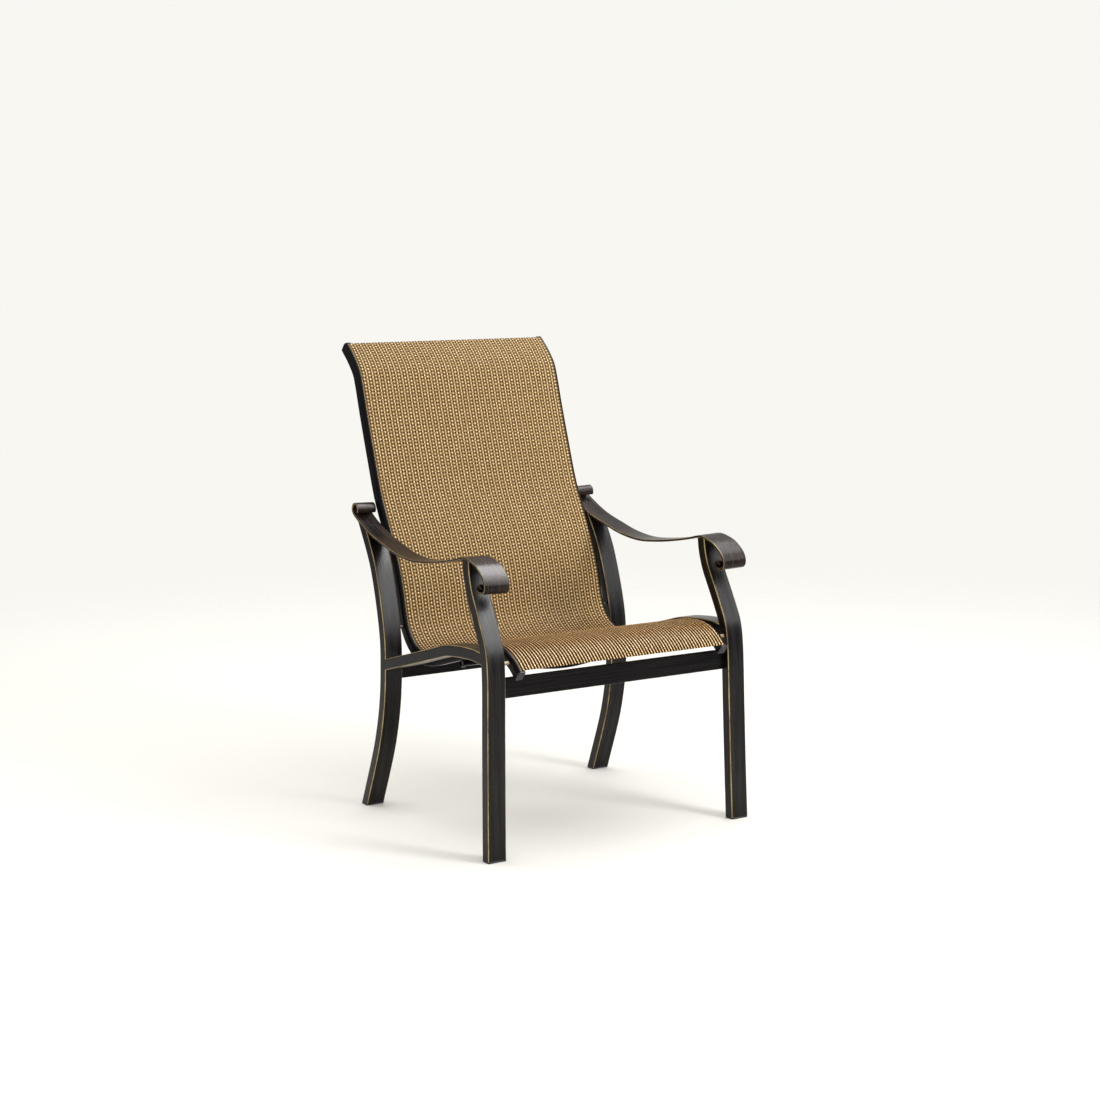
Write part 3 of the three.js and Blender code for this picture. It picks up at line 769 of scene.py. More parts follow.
@dataclass(frozen=True)
class Bronze:
    """Dark bronze paint over metal, brushed along each bar and rubbed to gold on its edges."""

    name: str
    dark: Colour = (0.0022, 0.0018, 0.0026, 1)
    warm: Colour = (0.021, 0.018, 0.015, 1)
    gold: Colour = (0.55, 0.42, 0.19, 1)
    copper: Colour = (0.33, 0.22, 0.11, 1)
    warmth: float = 0.7
    rubbing: float = 1.0
    roughness: float = 0.31
    shine: float = 0.17
    metal_share: float = 0.85
    brush_depth: float = 0.00006
    brush_waves: Spot = (14, 1500, 1)
    streak_waves: Spot = (3, 360, 1)
    smear_waves: Spot = (22, 60, 1)
    cloud_waves: Spot = (9, 9, 9)
    patch_waves: Spot = (17, 17, 17)
    speck_waves: Spot = (420, 420, 420)

    def make(self) -> Coat:
        """Builds the material."""
        paint = Paint(self.name)
        run, spot = paint.vector_of("run"), paint.position()
        brushed = paint.noise(run, self.brush_waves, 4)
        streaks = paint.noise(run, self.streak_waves, 3)
        clouds = paint.noise(spot, self.cloud_waves, 2)
        speckle = paint.noise(spot, self.speck_waves, 2)
        tone = (clouds.rise(*CLOUDY) * 0.25 + streaks.rise(0.45, 0.7) * 1.1) * self.warmth
        paint_colour = paint.mixed(paint.maths("MINIMUM", tone, 1.0), self.dark, self.warm)
        smear = paint.noise(run, self.smear_waves, 2)
        reach = paint.value_of("wear") + (speckle - 0.5) * 0.7 + (smear - 0.5) * 0.55
        rub = reach.rise(0.55, 0.9) * self.rubbing
        lined = rub * (0.7 + 0.3 * brushed.rise(0.3, 0.6))
        patches = paint.noise(spot, self.patch_waves, 2).rise(0.38, 0.66)
        metal = paint.mixed(patches, self.copper, self.gold)
        height = brushed + streaks * 2.5 + speckle * 0.25
        return Coat(paint.finish(
            Base_Color=paint.mixed(lined, paint_colour, metal),
            Metallic=lined * self.metal_share,
            Roughness=self.roughness + (brushed - 0.5) * 0.2 + (streaks - 0.5) * 0.35 + lined * 0.08,
            Normal=paint.bump(height, self.brush_depth),
            Specular_IOR_Level=self.shine,
        ), "bronze_frame")


@dataclass(frozen=True)
class Weave:
    """The sling's cloth: coated strands in columns of beads and of thin long floats.

    A cell of the weave holds one column of beads and one thin light strand. The holes lie
    between the two, in the rows between the beads, and are painted dark as the shade seen through
    the open weave. On the seat the colour also carries painted light.
    """

    across: float = 0.01495
    along: float = 0.00833
    bead: tuple[float, float] = (0.135, 0.30)
    strand: float = 0.095
    hole: tuple[float, float] = (0.13, 0.30)
    hole_beside: float = 0.24
    strand_rise: float = 0.8
    relief: float = 0.0008
    sway: float = 0.07
    slip: float = 0.16
    soft_edge: tuple[float, float] = (0.0, 0.6)
    roughness: float = 0.62
    shine: float = 0.06
    seat_end: tuple[float, float] = (0.40, 0.52)
    flat_start: tuple[float, float] = (0.035, 0.07)
    sway_waves: Spot = (60, 60, 1)
    slip_waves: Spot = (95, 95, 1)
    fibre_waves: Spot = (2600, 340, 1)
    weft_waves: Spot = (260, 2600, 1)
    brown: Colour = (0.155, 0.082, 0.019, 1)
    tan: Colour = (0.37, 0.235, 0.088, 1)
    cream: Colour = (0.91, 0.72, 0.46, 1)
    # Painted shade seen through the open holes of the weave.
    dark: Colour = (0.016, 0.007, 0.002, 1)
    # Painted shade: the colour of the valleys on the seat.
    seat_valley_shade: Colour = (0.030, 0.007, 0.0, 1)
    # Painted shade: tints that darken the whole seat, and more so its flat part.
    seat_shade_tint: Colour = (1.0, 0.94, 0.80, 1)
    flat_shade_tint: Colour = (0.76, 0.64, 0.46, 1)

    def height(self, x: np.ndarray, s: np.ndarray) -> np.ndarray:
        """The cloth's relief at places on it.

        Args:
            x: Distance across from the middle.
            s: Distance along from the front edge.

        Returns:
            The height, from about -1 in a hole to 1 on a bead.
        """
        u, v = x / self.across, s / self.along
        beside = np.abs((u + 0.5) % 1 - 0.5)
        past = np.abs((v + 0.5) % 1 - 0.5)
        bead = np.clip(1 - (beside / self.bead[0]) ** 2 - (past / self.bead[1]) ** 2, 0, 1)
        aside = (beside - self.hole_beside) / self.hole[0]
        hole = np.clip(1 - aside ** 2 - ((0.5 - past) / self.hole[1]) ** 2, 0, 1)
        strand = np.clip(1 - ((0.5 - beside) / self.strand) ** 2, 0, 1)
        return bead + self.strand_rise * strand - hole

    def make(self) -> Coat:
        """Builds the material."""
        paint = Paint("woven_sling")
        cloth = paint.vector_of("run")
        x, s, _ = paint.parts(cloth)
        u = x / self.across + (paint.noise(cloth, self.sway_waves, 1) - 0.5) * self.sway
        v = s / self.along + (paint.noise(cloth, self.slip_waves, 1) - 0.5) * self.slip
        beside, past = u.apart(), v.apart()
        # The seat mask marks where the colour carries painted light: shaded valleys, brighter ridges and
        # a darker shade tint.
        seat = 1 - s.rise(*self.seat_end)
        past_bead = self._square(past * (1 - 0.55 * seat), self.bead[1])
        beside_bead = self._square(beside * (1 + 0.25 * seat), self.bead[0])
        bead = (1 - beside_bead - past_bead).rise(*self.soft_edge)
        aside = self._square(beside - self.hole_beside, self.hole[0])
        hole = (1 - aside - self._square(0.5 - past, self.hole[1])).rise(*self.soft_edge)
        strand = (1 - self._square((0.5 - beside) * (1 - 0.08 * seat), self.strand)).rise(0.0, 0.7)
        ripple = paint.maths("COSINE", (v + 0.5) * (2 * math.pi))
        cell = paint.vector_maths("FLOOR", self._cell_place(paint, u, v))
        settings = {"noise_dimensions": "2D"}
        chance = paint.read("ShaderNodeTexWhiteNoise", settings, {"Vector": cell}, "Value")
        fibre = paint.noise(cloth, self.fibre_waves, 2)
        weft = paint.noise(cloth, self.weft_waves, 2)
        ground = paint.mixed(weft.rise(0.3, 0.75) * 0.55, self.brown, self.tan)
        # Painted shade: on the seat the valleys between strands are painted nearly black-brown.
        ground = paint.mixed(seat * 0.97, ground, self.seat_valley_shade)
        dotted = ripple * (0.55 - 0.3 * seat)
        # Painted highlight: on the seat the floats and beads are painted brighter, as lit ridges.
        float_tone = 0.42 + seat * 0.13 + dotted + (fibre - 0.5) * 0.7 + (chance - 0.5) * 0.3
        long_float = paint.mixed(float_tone.rise(0.0, 1.1), self.tan, self.cream)
        bead_tone = 0.7 + seat * 0.12 + (fibre - 0.5) * 0.8 + (chance - 0.5) * 0.5
        round_bead = paint.mixed(bead_tone.rise(0.0, 1.1), self.tan, self.cream)
        colour = paint.mixed(strand, ground, long_float)
        colour = paint.mixed(bead, colour, round_bead)
        # Painted shade: the holes are painted dark, as the shade behind the open weave, a little less on
        # the seat.
        colour = paint.mixed(hole * (1 - 0.3 * seat), colour, self.dark)
        # Painted shade: the seat, and more so its flat part past the front roll, is tinted darker and
        # browner.
        colour = paint.blend("MULTIPLY", seat, colour, self.seat_shade_tint)
        colour = paint.blend("MULTIPLY", seat * s.rise(*self.flat_start), colour, self.flat_shade_tint)
        height = bead + self.strand_rise * strand - hole + (fibre - 0.5) * 0.12
        return Coat(paint.finish(
            Base_Color=colour,
            Roughness=self.roughness + (1 - bead) * 0.12,
            Normal=paint.bump(height, self.relief),
            Specular_IOR_Level=self.shine,
        ), "woven_sling")

    @staticmethod
    def _square(distance: Signal, reach: float) -> Signal:
        """The square of a distance over its reach."""
        share = distance / reach
        return share * share

    @staticmethod
    def _cell_place(paint: Paint, u: Signal, v: Signal) -> Signal:
        """Which half cell of the weave a place lies in, as a vector."""
        inputs = {0: u * 2 + 0.5, 1: v + 0.5}
        return paint.read("ShaderNodeCombineXYZ", None, inputs, 0, Kind.VECTOR)


@dataclass(frozen=True)
class Moulded:
    """Moulded plastic with a fine grain."""

    name: str
    colour: Colour
    pale: Colour
    roughness: float
    grain_waves: Spot = (900, 900, 900)
    cloud_waves: Spot = (240, 240, 240)
    grain_depth: float = 0.00003
    shine: float = 0.3

    def make(self) -> Coat:
        """Builds the material, which is named as its slot is."""
        paint = Paint(self.name)
        spot = paint.position()
        grain = paint.noise(spot, self.grain_waves, 2)
        clouds = paint.noise(spot, self.cloud_waves, 3)
        return Coat(paint.finish(
            Base_Color=paint.mixed(clouds.rise(*CLOUDY), self.colour, self.pale),
            Roughness=self.roughness + (grain - 0.5) * 0.25,
            Normal=paint.bump(grain, self.grain_depth),
            Specular_IOR_Level=self.shine,
        ), self.name)


@dataclass(frozen=True)
class Plated:
    """Zinc-plated steel, turned on a lathe."""

    colour: Colour = (0.17, 0.165, 0.16, 1)
    dull: Colour = (0.09, 0.087, 0.083, 1)
    roughness: float = 0.34
    turned_waves: Spot = (4000, 60, 1)
    cloud_waves: Spot = (300, 300, 300)
    turned_depth: float = 0.00002

    def make(self) -> Coat:
        """Builds the material."""
        paint = Paint("plated_steel")
        turned = paint.noise(paint.vector_of("run"), self.turned_waves, 2)
        clouds = paint.noise(paint.position(), self.cloud_waves, 3)
        return Coat(paint.finish(
            Base_Color=paint.mixed(clouds.rise(*CLOUDY), self.colour, self.dull),
            Metallic=1.0,
            Roughness=self.roughness + (turned - 0.5) * 0.3,
            Normal=paint.bump(turned, self.turned_depth),
        ), "fastener_steel")


class Finishes:
    """Every finish of the chair."""

    def __init__(self) -> None:
        """Builds the materials."""
        self.tube = Bronze("bronze_tube").make()
        self.cross = Bronze("bronze_cross_rail", warmth=0.3, rubbing=0.0, shine=0.08).make()
        self.bar = Bronze("bronze_arm", warm=(0.034, 0.019, 0.012, 1), warmth=1.1, shine=0.12).make()
        self.rail = Bronze("bronze_sling_rail", warmth=0.2, rubbing=0.0, shine=0.08).make()
        self.cloth = Weave().make()
        black, charcoal = (0.017, 0.016, 0.021, 1), (0.040, 0.037, 0.044, 1)
        self.cap = Moulded("dark_plastic", black, charcoal, 0.5).make()
        honey, straw = (0.30, 0.20, 0.12, 1), (0.38, 0.27, 0.17, 1)
        self.nylon = Moulded("pale_nylon", honey, straw, 0.45).make()
        soot, grey = (0.018, 0.018, 0.018, 1), (0.03, 0.03, 0.03, 1)
        self.cord = Moulded("spline_cord", soot, grey, 0.6).make()
        self.steel = Plated().make()


@dataclass
class Chair:
    """What the sub-assemblies share: the lines of the side view and the finishes."""

    finishes: Finishes
    shift: float
    front_leg: SideLine = field(init=False)
    rear_leg: SideLine = field(init=False)
    side_rail: SideLine = field(init=False)
    arm: SideLine = field(init=False)
    sling: SideLine = field(init=False)
    leg_ease: float = 0.006
    arm_ease: float = 0.0022
    sling_ease: float = 0.005
    rear_roll_radius: float = 0.0125
    rear_roll_turn: tuple[float, float] = (215, -60)
    front_curl_radius: float = 0.008
    front_curl_turn: tuple[float, float] = (270, 530)
    scroll_steps: int = 10
    tube_width: float = 0.044
    tube_thickness: float = 0.0254
    tube_corner: float = 0.003
    tube_wall: float = 0.002
    arm_thickness: float = 0.005
    arm_tilt_share: float = 0.03
    rail_outer: float = 0.268
    rail_width: float = 0.018
    rail_top: float = -0.0021
    rail_depth: float = 0.0258
    rail_radii: tuple[float, ...] = (0.007, 0.003, 0.003, 0.003)
    rail_support: float = 0.0004
    rail_wall: float = 0.002
    fold: float = 0.260
    slot_half: float = 0.00125
    track_radius: float = 0.0036
    track_inset: float = 0.0009
    track_depth: float = 0.007
    track_steps: int = 14
    chamber_depth: float = 0.012
    chamber_corner: float = 0.0006

    def __post_init__(self) -> None:
        """Lays out the lines."""
        rows = (FRONT_LEG_SHARES, REAR_LEG_SHARES, SIDE_RAIL_SHARES, SLING_SHARES)
        front, rear, side, sling = (np.array([place(share) for share in row]) for row in rows)
        self.front_leg = SideLine.through(front, self.leg_ease)
        self.rear_leg = SideLine.through(rear, self.leg_ease)
        self.side_rail = SideLine.through(side, self.leg_ease)
        self.sling = SideLine.through(sling, self.sling_ease)
        self.arm_knots = np.array([place(share) for share in ARM_SHARES])
        steps = self.scroll_steps
        roll = arc(place(REAR_ROLL_SHARE), self.rear_roll_radius, *self.rear_roll_turn, steps)
        curl = arc(place(FRONT_CURL_SHARE), self.front_curl_radius, *self.front_curl_turn, steps)
        self.arm = SideLine.through(np.vstack([roll, self.arm_knots, curl]), self.arm_ease)

    def outer_face(self, y: np.ndarray, z: np.ndarray) -> np.ndarray:
        """Distance of a side frame's outer face from the middle of the chair."""
        return OVERALL_WIDTH / 2 - TOE_IN_SHARE * y - LEAN_SHARE * z

    def inner_face(self, y: np.ndarray, z: np.ndarray) -> np.ndarray:
        """Distance of a leg's inner face from the middle of the chair."""
        return self.outer_face(y, z) - self.tube_width

    def on_side(self, side: Side) -> Place:
        """The rule that stands what is drawn flat in one side frame."""
        stand = self.upright(side)

        def put(x: np.ndarray, y: np.ndarray, z: np.ndarray) -> np.ndarray:
            """Leans and turns in the points of a side frame."""
            return stand(x + self.outer_face(y, z) - self.tube_width / 2, y, z)
        return put

    def upright(self, side: Side) -> Place:
        """The rule that stands what is drawn with X outwards from the middle of the chair."""
        def put(x: np.ndarray, y: np.ndarray, z: np.ndarray) -> np.ndarray:
            """Mirrors the points to their side."""
            return columns(side.value * x, y + self.shift, z)
        return put

    @property
    def rail_inner(self) -> float:
        """Distance of a sling rail's inner face from the middle of the chair."""
        return self.rail_outer - self.rail_width

    @property
    def rail_bottom(self) -> float:
        """Height of a sling rail's back face over the sitting face, below zero."""
        return self.rail_top - self.rail_depth

    @property
    def track_middle(self) -> np.ndarray:
        """The middle of the track that holds the hem."""
        return np.array([self.fold - self.track_inset, -self.track_depth])

    def rail_outline(self) -> Outline:
        """The outer outline of a sling rail."""
        low, high = (self.rail_inner, self.rail_bottom), (self.rail_outer, self.rail_top)
        return Outline.rounded(low, high, self.rail_radii, support=self.rail_support)

    def track_section(self) -> Outline:
        """The outline of a sling rail with its slot and track."""
        plain = self.rail_outline()
        mouth = math.degrees(math.asin(self.slot_half / self.track_radius))
        track = arc(self.track_middle, self.track_radius, 90 - mouth, mouth - 270, self.track_steps)
        lips = [(self.track_middle[0] + sign * self.slot_half, self.rail_top) for sign in (1, -1)]
        notch = np.vstack([lips[0], track, lips[1]])
        cut = len(plain.points) // len(self.rail_radii)
        points = np.vstack([plain.points[:cut], notch, plain.points[cut:]])
        wear = np.concatenate([plain.wear[:cut], np.zeros(len(notch)), plain.wear[cut:]])
        return Outline(points, wear)

    def chamber(self, fit: float) -> Outline:
        """The hollow under the track, drawn in by a fit."""
        inside = self.rail_wall + fit
        low = (self.rail_inner + inside, self.rail_bottom + inside)
        high = (self.rail_outer - inside, -self.chamber_depth - fit)
        return Outline.rounded(low, high, [self.chamber_corner] * 4, support=self.rail_support)

    @property
    def tube(self) -> list[Outline]:
        """The section of the legs and side rails."""
        return Outline.hollow(self.tube_width, self.tube_thickness, self.tube_corner, self.tube_wall)


@dataclass
class SideFrame:
    """One side of the frame: two legs, the rail between them and the arm over them."""

    chair: Chair
    side: Side
    glide_thickness: float = 0.004
    glide_plug: float = 0.016
    glide_chamfer: float = 0.0009
    plug_fit: float = 0.0005
    arm_width: float = 0.048
    arm_corner: float = 0.0016
    scroll_width: float = 0.061
    arm_segments: int = 4
    arm_end_rounding: float = 0.0016
    arm_spacing: float = 0.006
    arm_turn: float = math.radians(4)
    bare_end: float = 0.045
    bare_share: float = 1 / 3
    front_knot: int = 12
    under_step: float = 0.002
    face_step: float = 0.003

    def build(self) -> None:
        """Builds every piece of the side."""
        legs = (("front_leg", self.chair.front_leg), ("rear_leg", self.chair.rear_leg))
        for name, line in legs:
            self.leg(name, line)
            self.glide(name.replace("leg", "glide"), line)
        self.rail()
        self.arm()

    def under_arm(self, x: float) -> np.ndarray:
        """Points of the arm's underside, from its rear roll to its front scroll.

        Args:
            x: Place across the bar.

        Returns:
            Depth and level of each point.
        """
        chair = self.chair
        start, end = (chair.arm.near(chair.arm_knots[knot]) for knot in (0, self.front_knot))
        lengths = np.arange(start - 2 * chair.rear_roll_radius, end, self.under_step)
        under = chair.arm.shifted(chair.arm_thickness / 2 + GAP, lengths)
        return under + np.array([0, chair.arm_tilt_share * x])

    def leg(self, name: str, line: SideLine) -> None:
        """A bent tube from its glide to the underside of the arm."""
        chair, shell = self.chair, Shell()
        foot = level_line(self.glide_thickness + GAP)
        sweep(
            shell, line, chair.tube,
            lambda x, y: line.meets(y, foot),
            lambda x, y: line.meets(y, self.under_arm(x)),
            chair.on_side(self.side),
        )
        shell.piece(f"{self.side.word}_{name}", "tube", chair.finishes.tube)

    def glide(self, name: str, line: SideLine) -> None:
        """The moulded foot under a leg, with its plug in the tube."""
        chair, shell = self.chair, Shell()
        inside = 2 * (chair.tube_wall + self.plug_fit)
        plug = Outline.centred(chair.tube_width - inside, chair.tube_thickness - inside, self.plug_fit)
        sole, chamfer, top = chair.tube[0], self.glide_chamfer, self.glide_thickness
        levels = (
            (0.0, sole.inset(chamfer)), (chamfer, sole), (top - chamfer / 2, sole),
            (top, sole.inset(chamfer / 2)), (top, plug), (self.glide_plug, plug),
        )
        put = chair.on_side(self.side)
        starts = []
        for height, outline in levels:
            x, above = outline.points.T
            lengths = np.array([line.meets(y, level_line(height)) for y in above])
            starts.append(shell.ring(put(x, *line.shifted(above, lengths).T)))
        shell.solid(starts, len(plug.points))
        shell.piece(f"{self.side.word}_{name}", "foot", chair.finishes.cap)

    def rail(self) -> None:
        """The tube between the legs, coped to their rounded edges."""
        chair, shell = self.chair, Shell()
        line, half = chair.side_rail, chair.tube_width / 2

        def face(leg: SideLine, way: int, x: float) -> np.ndarray:
            """A leg's front face (way 1) or rear face (way -1) at a place across it."""
            past = max(abs(x) - (half - chair.tube_corner), 0)
            drop = chair.tube_corner - math.sqrt(max(chair.tube_corner ** 2 - past ** 2, 0))
            out = chair.tube_thickness / 2 - drop + GAP
            return leg.shifted(way * out, np.arange(0, leg.length, self.face_step))

        sweep(
            shell, line, chair.tube,
            lambda x, y: line.meets(y, face(chair.front_leg, -1, x)),
            lambda x, y: line.meets(y, face(chair.rear_leg, 1, x)),
            chair.on_side(self.side),
        )
        shell.piece(f"{self.side.word}_side_rail", "tube", chair.finishes.tube)

    def arm(self) -> None:
        """The flat bar, rolled at the rear, flared and curled under at the front."""
        chair, shell = self.chair, Shell()
        full_at, plain_at = (between(DEPTH_STOPS, share) for share in FLARE_SHARES)
        stand = chair.on_side(self.side)

        def put(x: np.ndarray, y: np.ndarray, z: np.ndarray) -> np.ndarray:
            """Widens the bar towards its scroll and tilts it."""
            narrower = (self.arm_width - self.scroll_width) * smoothstep(full_at, plain_at, y)
            wide = x + np.sign(x) * (self.scroll_width + narrower - self.arm_width) / 2
            return stand(wide, y, z + chair.arm_tilt_share * wide)

        bar = Outline.centred(self.arm_width, chair.arm_thickness, self.arm_corner, self.arm_segments)
        sweep(
            shell, chair.arm, [bar], 0.0, chair.arm.length, put,
            self.arm_spacing, self.arm_turn, self.arm_end_rounding,
        )
        bare = chair.arm.length - self.bare_end
        shell.wear = [
            wear * (1 - smoothstep(bare, bare + self.arm_width / 2, run[:, 0]) * self.bare_share)
            for wear, run in zip(shell.wear, shell.run)
        ]
        shell.piece(f"{self.side.word}_arm", "bar", chair.finishes.bar)


@dataclass
class CrossRails:
    """The two flat tubes on edge that join the side frames."""

    chair: Chair
    height: float = 0.044
    thickness: float = 0.0094
    setback: float = 0.016
    ring_count: int = 41

    def build(self) -> None:
        """Builds both rails."""
        chair = self.chair
        half = (self.thickness - chair.tube_thickness) / 2
        self.rail("front", chair.front_leg, FRONT_RAIL_LEVEL_SHARE, self.setback + half)
        self.rail("rear", chair.rear_leg, REAR_RAIL_LEVEL_SHARE, 0.0)

    def rail(self, name: str, leg: SideLine, level_share: float, behind: float) -> None:
        """One rail.

        Args:
            name: Which rail it is.
            leg: Line of the legs that it joins.
            level_share: Level of its middle.
            behind: Its middle behind the middle of the legs.
        """
        chair, shell = self.chair, Shell()
        level = between(LEVEL_STOPS, level_share)
        crossing = leg.meets(0.0, level_line(level))
        middle = leg.at(crossing)[0][0] + np.array([behind, 0])
        sections = Outline.hollow(self.thickness, self.height, chair.tube_corner, chair.tube_wall)
        ends = []
        for outline in sections:
            y, z = (outline.points + middle).T
            reach = chair.inner_face(y, z) - GAP
            rings = []
            for share in np.linspace(-1, 1, self.ring_count):
                x = reach * share
                run = columns(x, outline.around, np.zeros(len(x)))
                rings.append(shell.ring(columns(x, y + chair.shift, z), outline.wear, run))
            shell.tube(rings, len(y))
            ends.append((rings[0], rings[-1]))
        flat = [outline.points for outline in sections]
        for start in zip(*ends):
            shell.cap(start, flat)
        shell.piece(f"{name}_cross_rail", "tube", chair.finishes.cross)


@dataclass
class SlingRail:
    """One of the two bent extrusions that carry the sling, with its caps and spline.

    A dome share is a height on the cap as a share of its thickness, and how far it is drawn in there.
    """

    chair: Chair
    side: Side
    front_past: float = 0.002
    top_past: float = 0.004
    spacing: float = 0.012
    turn: float = math.radians(3)
    cap_thickness: float = 0.003
    cap_plug: float = 0.008
    plug_fit: float = 0.0005
    plug_chamfer: float = 0.0006
    dome_shares: tuple = ((0.45, 0.0), (0.8, 0.0007), (0.97, 0.002), (1.0, 0.004))
    spline_radius: float = 0.00175
    spline_segments: int = 16

    def build(self) -> None:
        """Builds the rail, its spline and both caps."""
        self.rail()
        self.spline()
        front, top = -self.front_past, self.chair.sling.length + self.top_past
        self.cap("front", front - GAP, -1)
        self.cap("top", top + GAP, 1)

    def rail(self) -> None:
        """The extrusion, with the track that holds the cloth and a hollow under it."""
        chair, shell = self.chair, Shell()
        sweep(
            shell, chair.sling, [chair.track_section(), chair.chamber(0.0)],
            -self.front_past, chair.sling.length + self.top_past, chair.upright(self.side),
            self.spacing, self.turn,
        )
        shell.piece(f"{self.side.word}_sling_rail", "extrusion", chair.finishes.rail)

    def spline(self) -> None:
        """The rod in the hem of the cloth."""
        chair, shell = self.chair, Shell()
        points = circle(chair.track_middle, self.spline_radius, self.spline_segments)
        rod = Outline(points, np.zeros(len(points)))
        sweep(shell, chair.sling, [rod], 0.0, chair.sling.length, chair.upright(self.side), self.spacing)
        shell.piece(f"{self.side.word}_sling_spline", "rod", chair.finishes.cord)

    def cap(self, where: str, face: float, outwards: int) -> None:
        """An end cap: a softly rounded plate, and a plug in the rail's hollow.

        Args:
            where: Which end it closes.
            face: Length along the sling at which the plate rests on the rail.
            outwards: Sign of the way out of the rail.
        """
        chair, shell = self.chair, Shell()
        plate, plug = chair.rail_outline(), chair.chamber(self.plug_fit)
        rings = (
            (-self.cap_plug - GAP, plug.inset(self.plug_chamfer)), (-self.cap_plug, plug),
            (0.0, plug), (0.0, plate),
            *((up * self.cap_thickness, plate.inset(drawn_in)) for up, drawn_in in self.dome_shares),
        )
        put = chair.upright(self.side)
        starts = []
        for past, outline in rings:
            x, above = outline.points.T
            points = chair.sling.shifted(above, np.full(len(x), face + outwards * past))
            starts.append(shell.ring(put(x, *points.T), outline.wear))
        shell.solid(starts, len(plate.points))
        shell.piece(f"{self.side.word}_{where}_end_cap", "plug", chair.finishes.cap)


@dataclass
class Cloth:
    """The woven sling: one sheet with a hem down each side."""

    chair: Chair
    weave: Weave
    thickness: float = 0.0018
    fold_steps: int = 3
    hem_radius: float = 0.003
    hem_wall: float = 0.00075
    hem_steps: int = 14
    bore_segments: int = 12
    columns_a_cell: int = 4
    rows_a_cell: int = 2
    teeth_a_cell: int = 2
    margin_share: float = 1.4
    edge_bow: float = 0.012
    edge_fullness: float = 4.0
    edge_fade: float = 0.06
    serration: float = 0.0005
    relief: float = 0.00055
    relief_margin: float = 0.006

    def build(self) -> None:
        chair, shell = self.chair, Shell()
        points, face, developed = self.section()
        bore = self.hem_radius - self.hem_wall
        hems = [
            circle(chair.track_middle * (side.value, 1), bore, self.bore_segments) for side in Side
        ]
        x, y = points.T
        count = round(chair.sling.length / (self.weave.along / self.rows_a_cell))
        starts, hollow = [], [[], []]
        put = chair.upright(Side.RIGHT)
        for s in np.linspace(0, chair.sling.length, count + 1):
            along = s + self.front_edge(x) * max(1 - s / self.edge_fade, 0)
            raised = y + face * self.relief * self.weave.height(developed, along) * self.margin(x)
            run = columns(developed, along, face)
            starts.append(shell.ring(put(x, *chair.sling.shifted(raised, along).T), 0.0, run))
            for hem, rings in zip(hems, hollow):
                side = chair.sling.shifted(hem[:, 1], np.full(len(hem), s))
                rings.append(shell.ring(put(hem[:, 0], *side.T)))
        shell.tube(starts, len(x))
        for rings in hollow:
            shell.tube(rings, len(hems[0]))
        for k in (0, -1):
            shell.cap([starts[k], hollow[0][k], hollow[1][k]], [points, *hems])
        made = shell.piece("sling", "cloth", chair.finishes.cloth)
        width = 2 * (chair.fold - self.thickness + self.hem_length())

    def hem_length(self) -> float:
        """The cloth in one side's fold, neck and hem."""
        neck = -self.chair.track_middle[1] - self.hem_radius - self.thickness
        return math.pi / 2 * self.thickness + neck + 2 * math.pi * self.hem_radius

    def front_edge(self, x: np.ndarray) -> np.ndarray:
        """How far the front edge is drawn back at places across the chair."""
        share = np.clip(np.abs(x) / self.chair.rail_inner, 0, 1)
        teeth = self.serration * np.cos(2 * math.pi * self.teeth_a_cell * x / self.weave.across)
        return (self.edge_bow + teeth) * (1 - share ** self.edge_fullness)

    def margin(self, x: np.ndarray) -> np.ndarray:
        """How much of the relief there is at places across the chair."""
        fold = self.chair.fold
        return 1 - smoothstep(fold - self.relief_margin, fold - self.thickness, np.abs(x))

    def section(self) -> tuple[np.ndarray, np.ndarray, np.ndarray]:
        """The cloth's section, anticlockwise from the right end of the sitting face.

        Returns:
            The points, the face that each lies on (1 sitting face, -1 back, 0 sides), and its
            distance across the cloth.
        """
        chair, thick = self.chair, self.thickness
        column = self.weave.across / self.columns_a_cell
        reach = int((chair.fold - self.margin_share * thick) / column)
        across = np.arange(-reach, reach + 1) * column
        corner = np.array([chair.fold - thick, -thick])
        fold = arc(corner, thick, 0, 90, self.fold_steps)
        mouth = math.degrees(math.asin(thick / 2 / self.hem_radius))
        hem = arc(chair.track_middle, self.hem_radius, 90 + mouth, 450 - mouth, self.hem_steps)
        right = np.vstack([corner, hem, fold])
        left = right[::-1] * (-1, 1)
        top = columns(across[::-1], np.zeros(len(across)))
        back = columns(across, np.full(len(across), -thick))
        points = np.vstack([top, left, back, right])
        face = np.repeat([1.0, 0.0, -1.0, 0.0], [len(part) for part in (top, left, back, right)])
        developed = points[:, 0] - (face == 0) * np.sign(points[:, 0]) * points[:, 1]
        return points, face, developed


